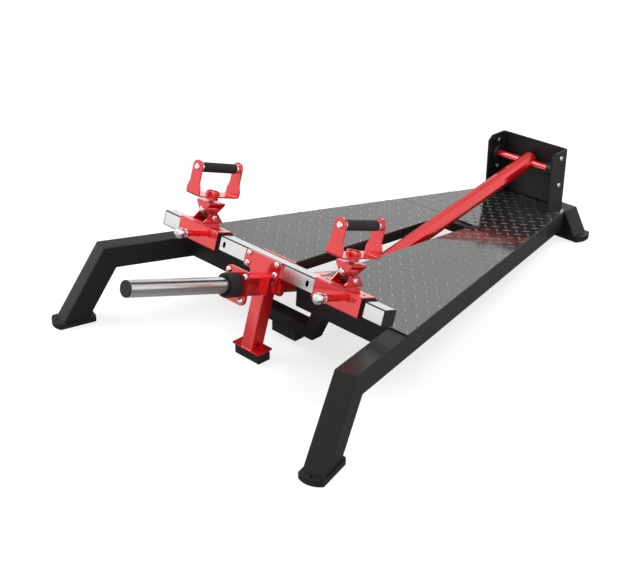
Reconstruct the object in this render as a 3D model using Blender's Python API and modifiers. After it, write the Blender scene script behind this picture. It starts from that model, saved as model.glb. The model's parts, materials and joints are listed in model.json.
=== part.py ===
"""T-bar row machine: a pitched deck on splayed legs, a pivoting arm and two gimballed handles."""
import math

import bmesh
import bpy
from mathutils import Matrix, Vector

# Metres and degrees. +Y is the rear, the floor is Z = 0, the machine is symmetric about X = 0.
# A gap parts two pieces, a fit is the play in a hole, a lap sinks a joined piece into its mate.
GAP = 0.0003
FIT = 0.0004
LAP = 0.002
OPEN = 0.010
EDGE = 0.001
WELD = 0.00001

# Domed bolt heads: flat top as a share of the radius, straight side as a share of the height
DOME_FLAT = 0.6
DOME_SIDE = 0.4

# Deck plane and side rails
DECK_HEIGHT = 0.2481
DECK_PITCH = 5.05
RAIL_SPREAD = 0.592
RAIL_TOE = 15.0
RAIL_WIDE = 0.072
RAIL_TALL = 0.074
RAIL_RADIUS = 0.005
TUBE_WALL = 0.003
LEG_BEND = 60.0

# Feet
PAD_THICK = 0.010
FOOT_THICK = 0.0097
FOOT_MARGIN = 0.004
FOOT_TONGUE = 0.014
FOOT_BOW = 0.014
FOOT_HEEL = 0.020
FOOT_HOLE = 0.009
FOOT_RADIUS = 0.010
FOOT_TIP_RADIUS = 0.0025

# Front cross member with its drop, and the block under it
CROSS_FRONT = 0.2855
CROSS_DEEP = 0.072
CROSS_TALL = 0.074
DROP_FRONT = 0.280
DROP_DEEP = 0.050
DROP_TUBE = 0.046
DROP_HALF = 0.128
DROP_UNDERSIDE = 0.052
DROP_SPLAY = 26.5
BLOCK_HALF = 0.054
BLOCK_DEEP = 0.040
BLOCK_BOTTOM = 0.019

# Slot in the deck, its rails and the plates
SLOT_HALF = 0.063
CROSS_GAP_HALF = 0.061
INNER_WIDE = 0.040
INNER_TALL = 0.036
SEAM_FRONT = 1.1225
SEAM_DEEP = 0.060
SEAM_LINE = 1.1565
PLATE_THICK = 0.004
PLATE_RADIUS = 0.003

# Rear cross tube, its top a little below the deck plane
REAR_FRONT = 1.573
REAR_DEEP = 0.077
REAR_TALL = 0.060
REAR_HALF = 0.170
REAR_DROP = 0.0033
REAR_SPLAY = 30.0

# Pivot bracket and bearings: the pivot lies ahead of the rear cross tube and above it
PIVOT_AHEAD = 0.032
PIVOT_RISE = 0.1647
BRACKET_HALF = 0.148
BRACKET_AHEAD = 0.051
BRACKET_BEHIND = 0.047
BRACKET_TALL = 0.2412
BRACKET_PLATE = 0.007
BRACKET_BEND = 0.012
BRACKET_CHAMFER_Y = 0.022
BRACKET_CHAMFER_Z = 0.017
SHAFT_RADIUS = 0.0125
SHAFT_INSET = 0.002
BEARING_PLATE = 0.006
BEARING_BOSS = 0.006
BEARING_RADIUS = 0.030
BOSS_ROOT = 0.029
BOSS_TIP = 0.025
BEARING_EAR = 0.012
BEARING_BOLT_REACH = 0.0525
BOLT_RADIUS = 0.005
BOLT_HEAD_RADIUS = 0.009
BOLT_HEAD_TALL = 0.006
SPACER_RADIUS = 0.024
SPACER_LONG = 0.028

# Arm, its bend below the height of the deck
ARM_RADIUS = 0.030
ARM_WALL = 0.0035
ARM_BEND_Y = 0.631
ARM_BEND_DROP = 0.1501
ARM_BEND_RADIUS = 0.160
ARM_TAIL = 0.022
ARM_PLATE_WIDE = 0.090
ARM_PLATE_TOP = -0.022
ARM_PLATE_BOTTOM = -0.122
ARM_PLATE_THICK = 0.008
ARM_PLATE_RADIUS = 0.016

# Front section, tilted back: X across, Y to the rear of the bar, Z up the post;
# its datum is the top front edge of the bar, above the height of the deck
SECTION_Y = 0.2142
SECTION_RISE = 0.0764
SECTION_TILT = 18.2
BAR_HALF = 0.492
BAR_SIZE = 0.050
BAR_RADIUS = 0.004
BAR_WALL = 0.003
BAR_CAP_THICK = 0.003
BAR_CAP_PLUG = 0.016
SLOT_WIDE = 0.012
SLOT_TALL = 0.020
SLOT_ROUND = 0.0055
SLOT_FIRST = 0.1875
SLOT_PITCH = 0.0625
SLOT_COUNT = 4

# Clamp plates round the bar
CLAMP_HALF = 0.080
CLAMP_THICK = 0.008
CLAMP_RISE = 0.002
CLAMP_SKIRT = 0.003
TONGUE_HALF = 0.045
TONGUE_BOTTOM = -0.115
CLAMP_RADIUS = 0.008
CLAMP_BOLT_X = 0.062
CLAMP_BOLT_Z = 0.016
CLAMP_BOLT_RADIUS = 0.004
CLAMP_HEAD_RADIUS = 0.0095
CLAMP_HEAD_TALL = 0.0075

# Post, its base plate and its rubber pad
POST_SIZE = 0.050
POST_HOLE_RADIUS = 0.006
POST_HOLE_HEIGHT = 0.048
BASE_FRONT = 0.118
BASE_REAR = 0.178
BASE_HALF = 0.061
BASE_TOP = 0.039
BASE_THICK = 0.004
BASE_RADIUS = 0.004
POST_PAD_INSET = 0.006
POST_BOLT_Y = 0.027
POST_BOLT_Z = -0.080

# Weight sleeve group
SLEEVE_AXIS = -0.0905
SLEEVE_BOX_WIDE = 0.050
SLEEVE_BOX_TALL = 0.060
SLEEVE_BOX_FRONT = -0.0965
FLANGE_SIZE = 0.105
FLANGE_RADIUS = 0.018
FLANGE_THICK = 0.0045
FLANGE_BOLT = 0.0375
SLEEVE_RADIUS = 0.025
SLEEVE_WALL = 0.003
SLEEVE_TIP = -0.514
SLEEVE_STEPS = 28
COLLAR_FRONT = -0.146
RUBBER_RADIUS = 0.038
RUBBER_LIP = 0.010
RUBBER_RECESS = 0.014
TIP_CAP_THICK = 0.004
TIP_CAP_PLUG = 0.014

# Sliders on the bar
SLIDER_SLOT = 2
SLIDER_SIZE = 0.064
SLIDER_LONG = 0.187
SLIDER_WALL = 0.004
SLIDER_RADIUS = 0.005
LINER_REACH = 0.010
LINER_LIP = 0.002
LINER_RADIUS = 0.0015
PIN_RADIUS = 0.005
BARREL_RADIUS = 0.0105
BARREL_LONG = 0.042
KNOB_RADIUS = 0.018
KNOB_REACH = 0.0745
KNURL_RADIUS = 0.0138
KNURL_DEPTH = 0.0016
KNURL_START = 0.0515
KNURL_PITCH = 0.0045
KNURL_COUNT = 2
SCREW_REACH = 0.0725
SCREW_RADIUS = 0.0038

# Gimbal under each handle, heights above the slider's top
YOKE_PLATE = 0.0045
YOKE_BASE_LONG = 0.078
YOKE_BASE_HALF = 0.0295
YOKE_BEND = 0.008
YOKE_LIP = 0.007
YOKE_WELD_PLATE = 0.0045
YOKE_WELD_INSET = 0.006
YOKE_NECK = 0.0025
YOKE_NECK_INSET = 0.012
LOWER_PIN_RISE = 0.027
LOWER_EAR_RADIUS = 0.019
UPPER_PIN_RISE = 0.049
UPPER_EAR_RADIUS = 0.012
UPPER_YOKE_DEEP = 0.066
UPPER_YOKE_WIDE = 0.063
UPPER_YOKE_RISE = 0.069
UPPER_YOKE_PLATE = 0.007
BARREL_LOWER = 0.0145
BARREL_UPPER = 0.0135
WEB_HALF = 0.012
GIMBAL_PIN = 0.005
GIMBAL_HEAD = 0.0095
GIMBAL_HEAD_TALL = 0.006
STUD_RADIUS = 0.008
RING_RADIUS = 0.020
RING_WALL = 0.0035
RING_BOTTOM = 0.081
RING_TOP = 0.112
RING_LEDGE = 0.100
NUT_RADIUS = 0.0135
NUT_TALL = 0.009
NUT_LIFT = 0.0005

# D shaped handle frame
FRAME_BOTTOM = 0.0935
FRAME_PLATE = 0.005
FRAME_LONG = 0.175
FRAME_WIDE = 0.062
FRAME_NARROW = 0.045
FRAME_BEND = 0.010
NECK_START = 0.115
NECK_END = 0.141
GRIP_RISE = 0.185
GRIP_RADIUS = 0.014
GRIP_BAR_RADIUS = 0.008
GRIP_COLLAR_LONG = 0.007
GRIP_COLLAR_RADIUS = 0.0145
GRIP_HEAD_RADIUS = 0.0105
GRIP_HEAD_TALL = 0.006

X = Vector((1, 0, 0))
Y = Vector((0, 1, 0))
Z = Vector((0, 0, 1))


def new_collection(name):
    found = bpy.data.collections.new(name)
    bpy.context.scene.collection.children.link(found)
    return found


for item in list(bpy.data.objects):
    bpy.data.objects.remove(item, do_unlink=True)
PARTS = new_collection("t_bar_row_machine")
CUTTERS = new_collection("cutters")


def paint(name, colour, roughness, metallic=0.0):
    material = bpy.data.materials.new(name)
    material.use_nodes = True
    shader = material.node_tree.nodes["Principled BSDF"]
    shader.inputs["Base Color"].default_value = (*colour, 1.0)
    shader.inputs["Roughness"].default_value = roughness
    shader.inputs["Metallic"].default_value = metallic
    return material


BLACK_PAINT = paint("black_paint", (0.028, 0.029, 0.029), 0.38)
RED_PAINT = paint("red_paint", (0.78, 0.006, 0.010), 0.22)
DECK_METAL = paint("deck_metal", (0.42, 0.43, 0.43), 0.24, 1.0)
CHROME = paint("chrome", (0.86, 0.86, 0.86), 0.12, 1.0)
STEEL = paint("steel", (0.62, 0.62, 0.61), 0.30, 1.0)
RUBBER = paint("rubber", (0.022, 0.023, 0.022), 0.75)
PLASTIC = paint("plastic", (0.030, 0.030, 0.030), 0.48)


def pivot(name, location, rotation=(0, 0, 0), parent=None):
    """An empty on a joint or a datum; rotation in degrees about X, Y and Z."""
    empty = bpy.data.objects.new(name, None)
    PARTS.objects.link(empty)
    empty.parent = parent
    empty.location = location
    empty.rotation_euler = [math.radians(angle) for angle in rotation]
    bpy.context.view_layer.update()
    return empty


def place(piece, parent, location=(0, 0, 0)):
    piece.parent = parent
    piece.location = Vector(location)
    return piece


def rounded(corners, radius=0.0, steps=3):
    """A closed outline whose corners (x, y) or (x, y, radius of its own) become arcs."""
    points = []
    for index, corner in enumerate(corners):
        here = Vector(corner[:2])
        bend = corner[2] if len(corner) > 2 else radius
        back = (Vector(corners[index - 1][:2]) - here).normalized()
        ahead = (Vector(corners[(index + 1) % len(corners)][:2]) - here).normalized()
        if bend <= 0:
            points.append(here)
            continue
        half = back.angle(ahead) / 2
        centre = here + (back + ahead).normalized() * bend / math.sin(half)
        start = here + back * bend / math.tan(half) - centre
        end = here + ahead * bend / math.tan(half) - centre
        turn = math.atan2(start.x * end.y - start.y * end.x, start.dot(end))
        for step in range(steps + 1):
            points.append(centre + Matrix.Rotation(turn * step / steps, 2) @ start)
    return points


def rectangle(low_x, high_x, low_y, high_y, radius=0.0, steps=2):
    corners = [(low_x, low_y), (high_x, low_y), (high_x, high_y), (low_x, high_y)]
    return rounded(corners, radius, steps)


def circle(radius, x=0.0, y=0.0, steps=12):
    turns = [2 * math.pi * step / steps for step in range(steps)]
    return [Vector((x + radius * math.cos(a), y + radius * math.sin(a))) for a in turns]


def finish(piece, material, helper=False, sharp=35.0):
    """Put the piece in its collection with its material; a helper is hidden and drawn as wire."""
    (CUTTERS if helper else PARTS).objects.link(piece)
    if helper:
        piece.hide_render = True
        piece.display_type = "WIRE"
    piece.data.materials.clear()
    piece.data.materials.append(material)
    piece.data.shade_smooth()
    piece.data.set_sharp_from_angle(angle=math.radians(sharp))
    return piece


def from_bmesh(name, bm, material, helper=False):
    bmesh.ops.recalc_face_normals(bm, faces=bm.faces)
    mesh = bpy.data.meshes.new(name)
    bm.to_mesh(mesh)
    bm.free()
    return finish(bpy.data.objects.new(name, mesh), material, helper)


def box(name, low, high, material, helper=False):
    bm = bmesh.new()
    bmesh.ops.create_cube(bm, size=1.0)
    size = Vector(high) - Vector(low)
    middle = (Vector(high) + Vector(low)) / 2
    bmesh.ops.scale(bm, vec=size, verts=bm.verts)
    bmesh.ops.translate(bm, vec=middle, verts=bm.verts)
    return from_bmesh(name, bm, material, helper)


def rod(name, radius, start, end, material, helper=False, segments=12, end_radius=None):
    """A cylinder, or a cone where the end radius differs, between two points."""
    start, end = Vector(start), Vector(end)
    bm = bmesh.new()
    bmesh.ops.create_cone(bm, cap_ends=True, segments=segments, radius1=radius,
                          radius2=end_radius or radius, depth=(end - start).length)
    turn = Z.rotation_difference(end - start).to_matrix().to_4x4()
    bmesh.ops.transform(bm, verts=bm.verts, matrix=Matrix.Translation((start + end) / 2) @ turn)
    return from_bmesh(name, bm, material, helper)


def plate(name, loops, thickness, material, helper=False, matrix=None):
    """A flat plate drawn in XY, the first loop its edge and the others holes, rising from Z = 0."""
    curve = bpy.data.curves.new(name, "CURVE")
    curve.dimensions = "2D"
    curve.fill_mode = "BOTH"
    curve.extrude = thickness / 2
    for loop in loops:
        spline = curve.splines.new("POLY")
        spline.points.add(len(loop) - 1)
        for point, spot in zip(spline.points, loop):
            point.co = (spot[0], spot[1], 0, 1)
        spline.use_cyclic_u = True
    lift = Matrix.Translation((0, 0, thickness / 2))
    return solid_curve(name, curve, material, helper, (matrix or Matrix()) @ lift)


def solid_curve(name, curve, material, helper=False, matrix=None):
    """Turn a curve into a closed mesh with its caps welded."""
    drawn = bpy.data.objects.new(name + "_curve", curve)
    PARTS.objects.link(drawn)
    bpy.context.view_layer.update()
    graph = bpy.context.evaluated_depsgraph_get()
    mesh = bpy.data.meshes.new_from_object(drawn.evaluated_get(graph))
    bpy.data.objects.remove(drawn, do_unlink=True)
    bm = bmesh.new()
    bm.from_mesh(mesh)
    bmesh.ops.remove_doubles(bm, verts=bm.verts, dist=WELD / 5)
    bmesh.ops.transform(bm, verts=bm.verts, matrix=matrix or Matrix())
    bpy.data.meshes.remove(mesh)
    return from_bmesh(name, bm, material, helper)


def turned(name, profile, material, axis=Z, centre=(0, 0, 0), steps=24, helper=False):
    """A turned piece: (radius, height) pairs from the top of the axis down its outer side."""
    mesh = bpy.data.meshes.new(name)
    points = [(radius, 0, height) for radius, height in profile]
    mesh.from_pydata(points, [(i, i + 1) for i in range(len(points) - 1)], [])
    spun = bpy.data.objects.new(name + "_profile", mesh)
    PARTS.objects.link(spun)
    screw = spun.modifiers.new("turn", "SCREW")
    screw.steps = steps
    screw.render_steps = steps
    screw.use_merge_vertices = True
    screw.merge_threshold = WELD
    bpy.context.view_layer.update()
    graph = bpy.context.evaluated_depsgraph_get()
    solid = bpy.data.meshes.new_from_object(spun.evaluated_get(graph))
    bpy.data.objects.remove(spun, do_unlink=True)
    bm = bmesh.new()
    bm.from_mesh(solid)
    bmesh.ops.remove_doubles(bm, verts=bm.verts, dist=WELD)
    turn = Z.rotation_difference(Vector(axis)).to_matrix().to_4x4()
    bmesh.ops.transform(bm, verts=bm.verts, matrix=Matrix.Translation(centre) @ turn)
    return from_bmesh(name, bm, material, helper)


def domed(radius, tall, base=0.0):
    """Profile of a domed bolt head on a face at the base height, from its top to its rim."""
    return [(0, base + tall), (radius * DOME_FLAT, base + tall),
            (radius, base + tall * DOME_SIDE), (radius, base)]


def modify(piece, other, operation):
    other.parent = piece.parent
    other.location = piece.location
    step = piece.modifiers.new(operation.lower(), "BOOLEAN")
    step.operation = operation
    step.solver = "EXACT"
    step.object = other
    return piece


def cut(piece, *others):
    for other in others:
        modify(piece, other, "DIFFERENCE")
    return piece


def join(piece, *others):
    for other in others:
        modify(piece, other, "UNION")
    return piece


def slide(point, direction, plane):
    """The point moved along a direction onto a plane (point on it, normal)."""
    spot, normal = plane
    return point + direction * normal.dot(spot - point) / normal.dot(direction)


def sweep(name, outline, path, axis, ends, material, helper=False):
    """Sweep an outline (along axis, across the run) down a mitred path between two end planes."""
    runs = [(b - a).normalized() for a, b in zip(path, path[1:])]
    mitres = [(spot, (a + b).normalized()) for spot, a, b in zip(path[1:], runs, runs[1:])]
    planes = [(path[0], ends[0])] + mitres + [(path[-1], ends[1])]
    rise = axis.cross(runs[0])
    bm = bmesh.new()
    ring = [slide(path[0] + axis * a + rise * b, runs[0], planes[0]) for a, b in outline]
    face = bm.faces.new([bm.verts.new(spot) for spot in ring])
    for step, (run, plane) in enumerate(zip(runs, planes[1:])):
        grown = bmesh.ops.extrude_face_region(bm, geom=[face])["geom"]
        if step > 0:
            bm.faces.remove(face)
        face = next(item for item in grown if isinstance(item, bmesh.types.BMFace))
        for vert in face.verts:
            vert.co = slide(vert.co, run, plane)
    return from_bmesh(name, bm, material, helper)


def tube(name, span, path, axis, ends, material, wall, reach, radius=RAIL_RADIUS):
    """A rectangular tube; span is (low a, high a, low b, high b), reach how far its bore
    runs past each end: above zero it is open there, below zero closed."""
    low_a, high_a, low_b, high_b = span
    piece = sweep(name, rectangle(*span, radius), path, axis, ends, material)
    first = (path[1] - path[0]).normalized()
    last = (path[-1] - path[-2]).normalized()
    inner_path = [path[0] - first * reach[0], *path[1:-1], path[-1] + last * reach[1]]
    inside = rectangle(low_a + wall, high_a - wall, low_b + wall, high_b - wall,
                       max(radius - wall, EDGE))
    bore = sweep(name + "_bore", inside, inner_path, axis, ends, material, helper=True)
    return piece, bore


def local_plane(frame, spot, normal):
    """A world plane in the coordinates of a frame."""
    inverse = frame.inverted()
    return inverse @ Vector(spot), (inverse.to_3x3() @ Vector(normal)).normalized()


# Datums
DECK = pivot("deck_datum", (0, 0, DECK_HEIGHT), (-DECK_PITCH, 0, 0))
FOOT_TOP = PAD_THICK + GAP + FOOT_THICK


def deck_height(y):
    return DECK_HEIGHT - y * math.tan(math.radians(DECK_PITCH))


REAR_TOP = deck_height(REAR_FRONT) - REAR_DROP
PIVOT_Y = REAR_FRONT - PIVOT_AHEAD
PIVOT_Z = REAR_TOP + PIVOT_RISE
BRACKET_FRONT = PIVOT_Y - BRACKET_AHEAD
BRACKET_REAR = PIVOT_Y + BRACKET_BEHIND
BRACKET_TOP = REAR_TOP + BRACKET_TALL
SECTION_Z = DECK_HEIGHT + SECTION_RISE
ARM_BEND_Z = DECK_HEIGHT - ARM_BEND_DROP


def foot_outline(wide, deep):
    """Foot plate in plan: the tube stands on X 0 to wide, Y 0 to deep, the tongue is at -Y."""
    left, right = -FOOT_MARGIN, wide + FOOT_MARGIN
    half = (right - left) / 2
    bow_radius = (half ** 2 + FOOT_BOW ** 2) / (2 * FOOT_BOW)
    swing = math.asin(half / bow_radius)
    middle = (left + right) / 2
    centre = -FOOT_TONGUE - FOOT_BOW + bow_radius
    bow = []
    for step in range(9):
        angle = swing * (step / 4 - 1)
        bow.append((middle + bow_radius * math.sin(angle), centre - bow_radius * math.cos(angle)))
    heel = deep + FOOT_HEEL
    outline = rounded([(*bow[0], FOOT_TIP_RADIUS), *[(*spot, 0) for spot in bow[1:-1]],
                       (*bow[-1], FOOT_TIP_RADIUS), (right, heel, FOOT_RADIUS),
                       (left, heel, FOOT_RADIUS)])
    return [outline, circle(FOOT_HOLE / 2, middle, -FOOT_TONGUE, 8)]


def foot(name, matrix, wide, deep, tube_piece):
    """Steel foot plate welded to a tube and the rubber pad under it; matrix puts its plan."""
    loops = foot_outline(wide, deep)
    steel = plate(name + "_plate", loops, FOOT_THICK, BLACK_PAINT, helper=True,
                  matrix=matrix @ Matrix.Translation((0, 0, PAD_THICK + GAP)))
    steel.data.transform(tube_piece.matrix_world.inverted())
    join(tube_piece, steel)
    return plate(name + "_pad", loops, PAD_THICK, RUBBER, matrix=matrix)


# Side rails, each with its front leg and foot
def side_rail(side, name):
    frame = pivot(name + "_rail_datum", (side * RAIL_SPREAD, 0, 0), (0, 0, side * RAIL_TOE), DECK)
    world = frame.matrix_world.copy()
    bend = math.radians(LEG_BEND)
    rise = Vector((0, math.cos(bend), math.sin(bend)))
    seat, up = local_plane(world, (0, 0, FOOT_TOP - FOOT_THICK / 2), Z)
    toe = slide(Vector(), rise, (seat, up))
    back, rear = local_plane(world, (0, REAR_FRONT - GAP, 0), Y)
    tail = slide(Vector(), Y, (back, rear))
    across = (-RAIL_WIDE, 0) if side > 0 else (0, RAIL_WIDE)
    rail, bore = tube(name + "_side_rail", (*across, -RAIL_TALL, 0), [toe, Vector(), tail], X,
                      (up, rear), BLACK_PAINT, TUBE_WALL, (-TUBE_WALL - FOOT_THICK / 2, OPEN),
                      RAIL_RADIUS)
    rail.parent = frame
    bpy.context.view_layer.update()
    cut(rail, bore)
    # The plan of the foot starts at the leg's outer front corner on top of the foot
    down = (world.to_3x3() @ rise).normalized()
    corner = slide(world @ Vector(), down, (Vector((0, 0, FOOT_TOP)), Z))
    plan = Matrix.Translation((corner.x, corner.y, 0)) @ Matrix.Rotation(
        math.radians(side * RAIL_TOE), 4, "Z")
    if side > 0:
        plan = plan @ Matrix.Translation((-RAIL_WIDE, 0, 0))
    foot(name + "_front_foot", plan, RAIL_WIDE, RAIL_TALL / down.z, rail)


side_rail(1, "right")
side_rail(-1, "left")


def rail_inner_plane(side):
    """Inner face of a side rail in deck coordinates, a gap off it."""
    toe = math.radians(RAIL_TOE)
    normal = Vector((math.cos(toe), side * math.sin(toe), 0)) * side
    return Vector((side * RAIL_SPREAD, 0, 0)) - normal * (RAIL_WIDE + GAP), normal


def across_deck(name, left_end, right_end, front, deep, tall, material, reach):
    """A tube across the deck with its top in the deck plane, between two end planes."""
    start = slide(Vector((0, front, 0)), X, left_end)
    stop = slide(Vector((0, front, 0)), X, right_end)
    piece, bore = tube(name, (-deep, 0, -tall, 0), [start, stop], -Y,
                       (left_end[1], right_end[1]), material, TUBE_WALL, reach, RAIL_RADIUS)
    place(piece, DECK)
    return cut(piece, bore)


# Front cross member: two halves, joined below the slot by a dropped beam
def front_cross_member():
    left_gap = (Vector((-CROSS_GAP_HALF, 0, 0)), X)
    right_gap = (Vector((CROSS_GAP_HALF, 0, 0)), X)
    halves = [across_deck("front_cross_member", right_gap, rail_inner_plane(1), CROSS_FRONT,
                          CROSS_DEEP, CROSS_TALL, BLACK_PAINT, (-TUBE_WALL, 4 * OPEN)),
              across_deck("cross_member_left_half", rail_inner_plane(-1), left_gap, CROSS_FRONT,
                          CROSS_DEEP, CROSS_TALL, BLACK_PAINT, (4 * OPEN, -TUBE_WALL))]
    member, other = halves
    world = DECK.matrix_world
    splay = math.radians(DROP_SPLAY)
    under = world @ Vector((0, CROSS_FRONT + CROSS_DEEP / 2, -CROSS_TALL + TUBE_WALL / 2))
    slope = (world.to_3x3() @ Z).normalized()
    corners = [Vector((side * DROP_HALF, DROP_FRONT, DROP_UNDERSIDE)) for side in (-1, 1)]
    lean = [Vector((side * math.sin(splay), 0, math.cos(splay))) for side in (-1, 1)]
    tops = [slide(spot, run, (under, slope)) for spot, run in zip(corners, lean)]
    path = [tops[0], corners[0], corners[1], tops[1]]
    drop, bore = tube("cross_member_drop", (-DROP_DEEP, 0, 0, DROP_TUBE), path, -Y,
                      (slope, slope), BLACK_PAINT, TUBE_WALL, (OPEN, OPEN))
    to_deck = world.inverted()
    for helper in (drop, bore):
        helper.data.transform(to_deck)
    for helper in (other, drop):
        PARTS.objects.unlink(helper)
        CUTTERS.objects.link(helper)
        helper.hide_render = True
        helper.display_type = "WIRE"
    join(member, other, drop)
    return cut(member, bore)


front_cross_member()
box("centre_foot_block", (-BLOCK_HALF, DROP_FRONT, BLOCK_BOTTOM),
    (BLOCK_HALF, DROP_FRONT + BLOCK_DEEP, DROP_UNDERSIDE - GAP), RUBBER)


# Tubes round the slot
def inner_rail(side, name):
    span = (SLOT_HALF, SLOT_HALF + INNER_WIDE) if side > 0 else (-SLOT_HALF - INNER_WIDE,
                                                                  -SLOT_HALF)
    path = [Vector((0, CROSS_FRONT + CROSS_DEEP + GAP, 0)), Vector((0, SEAM_FRONT - GAP, 0))]
    piece, bore = tube(name + "_slot_rail", (*span, -INNER_TALL, 0), path, X, (Y, Y),
                       BLACK_PAINT, TUBE_WALL, (OPEN, OPEN), RAIL_RADIUS)
    place(piece, DECK)
    return cut(piece, bore)


inner_rail(1, "right")
inner_rail(-1, "left")
across_deck("seam_cross_tube", rail_inner_plane(-1), rail_inner_plane(1), SEAM_FRONT, SEAM_DEEP,
            INNER_TALL, BLACK_PAINT, (4 * OPEN, 4 * OPEN))


# Deck plates
def deck_edge(y):
    """Half width of the deck to the outer face of the rails."""
    return RAIL_SPREAD - y * math.tan(math.radians(RAIL_TOE))


PLATE_REAR = REAR_FRONT / math.cos(math.radians(DECK_PITCH))


def deck_plates():
    front, seam = CROSS_FRONT, SEAM_LINE - GAP
    for side, name in ((1, "right"), (-1, "left")):
        corners = [(SLOT_HALF, front), (deck_edge(front), front), (deck_edge(seam), seam),
                   (SLOT_HALF, seam)]
        outline = rounded([(side * x, y) for x, y in corners], PLATE_RADIUS, 2)
        place(plate(name + "_deck_plate", [outline], PLATE_THICK, DECK_METAL), DECK, (0, 0, GAP))
    seam = SEAM_LINE + GAP
    corners = [(-deck_edge(seam), seam), (deck_edge(seam), seam),
               (deck_edge(PLATE_REAR), PLATE_REAR), (-deck_edge(PLATE_REAR), PLATE_REAR)]
    rear = plate("rear_deck_plate", [rounded(corners, PLATE_RADIUS, 2)], PLATE_THICK, DECK_METAL)
    place(rear, DECK, (0, 0, GAP))


deck_plates()


# Rear cross tube: one bent run that ends in two splayed legs
def rear_cross_tube():
    splay = math.radians(REAR_SPLAY)
    seat = FOOT_TOP - FOOT_THICK / 2
    tops = [Vector((side * REAR_HALF, REAR_FRONT, REAR_TOP)) for side in (-1, 1)]
    runs = [Vector((side * math.sin(splay), 0, -math.cos(splay))) for side in (-1, 1)]
    ends = [slide(spot, run, (Vector((0, 0, seat)), Z)) for spot, run in zip(tops, runs)]
    inset = -TUBE_WALL - FOOT_THICK / 2
    piece, bore = tube("rear_cross_tube", (-REAR_DEEP, 0, -REAR_TALL, 0),
                       [ends[0], *tops, ends[1]], -Y, (Z, Z), BLACK_PAINT, TUBE_WALL,
                       (inset, inset), RAIL_RADIUS)
    middle = REAR_FRONT + REAR_DEEP / 2
    drain = rod("rear_tube_drain", FOOT_HOLE / 2, (0, middle, 0), (0, middle, REAR_TOP - REAR_TALL / 2),
                BLACK_PAINT, helper=True, segments=8)
    cut(piece, bore, drain)
    reach = REAR_HALF + (REAR_TOP - FOOT_TOP) * math.tan(splay)
    for side, name in ((1, "right"), (-1, "left")):
        plan = Matrix.Translation((side * reach, REAR_FRONT, 0)) @ Matrix.Rotation(
            side * math.pi / 2, 4, "Z")
        if side < 0:
            plan = plan @ Matrix.Translation((-REAR_DEEP, 0, 0))
        foot(name + "_rear_foot", plan, REAR_DEEP, REAR_TALL / math.cos(splay), piece)


rear_cross_tube()


# Pivot bracket: one folded plate, open to the front
def pivot_bracket():
    inner = BRACKET_HALF - BRACKET_PLATE
    inner_rear = BRACKET_REAR - BRACKET_PLATE
    bend = BRACKET_BEND
    fold = bend - BRACKET_PLATE
    outline = rounded([(-BRACKET_HALF, BRACKET_FRONT, 0), (-inner, BRACKET_FRONT, 0),
                       (-inner, inner_rear, fold), (inner, inner_rear, fold),
                       (inner, BRACKET_FRONT, 0), (BRACKET_HALF, BRACKET_FRONT, 0),
                       (BRACKET_HALF, BRACKET_REAR, bend), (-BRACKET_HALF, BRACKET_REAR, bend)])
    bottom = REAR_TOP + GAP
    bracket = plate("pivot_bracket", [outline], BRACKET_TOP - bottom, BLACK_PAINT,
                    matrix=Matrix.Translation((0, 0, bottom)))
    # The flanges stand on the deck plate, the back on the rear tube
    wide = BRACKET_HALF + OPEN
    wedge = box("bracket_foot_cut", (-wide, CROSS_FRONT, -BRACKET_TOP),
                (wide, PLATE_REAR + 2 * GAP, PLATE_THICK + 2 * GAP), BLACK_PAINT, helper=True)
    wedge.data.transform(DECK.matrix_world)
    nose = [(BRACKET_FRONT - OPEN, BRACKET_TOP + OPEN), (BRACKET_FRONT + BRACKET_CHAMFER_Y,
            BRACKET_TOP + OPEN), (BRACKET_FRONT + BRACKET_CHAMFER_Y, BRACKET_TOP),
            (BRACKET_FRONT, BRACKET_TOP - BRACKET_CHAMFER_Z),
            (BRACKET_FRONT - OPEN, BRACKET_TOP - BRACKET_CHAMFER_Z)]
    upright = Matrix(((0, 0, 1, -wide), (1, 0, 0, 0), (0, 1, 0, 0), (0, 0, 0, 1)))
    chamfer = plate("bracket_chamfer_cut", [[Vector(spot) for spot in nose]], 2 * wide,
                    BLACK_PAINT, helper=True, matrix=upright)
    cut(bracket, wedge, chamfer)
    for rise in (-BEARING_BOLT_REACH, BEARING_BOLT_REACH):
        cut(bracket, rod("bracket_bolt_cut", BOLT_RADIUS + FIT, (-wide, PIVOT_Y, PIVOT_Z + rise),
                         (wide, PIVOT_Y, PIVOT_Z + rise), BLACK_PAINT, helper=True))


pivot_bracket()


# Flange bearings, each with its two bolts
def bearing_outline():
    """Two ears round the bolts, blended into the round housing by tangents."""
    lean = math.acos((BEARING_RADIUS - BEARING_EAR) / BEARING_BOLT_REACH)
    points = []
    for turn in (0, math.pi):
        for step in range(5):
            angle = turn + lean * (1 - step / 2)
            points.append((BEARING_BOLT_REACH * math.cos(turn) + BEARING_EAR * math.cos(angle),
                           BEARING_EAR * math.sin(angle)))
        for step in range(1, 6):
            angle = turn - lean - (math.pi - 2 * lean) * step / 6
            points.append((BEARING_RADIUS * math.cos(angle), BEARING_RADIUS * math.sin(angle)))
    return [Vector(spot) for spot in points]


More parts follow.
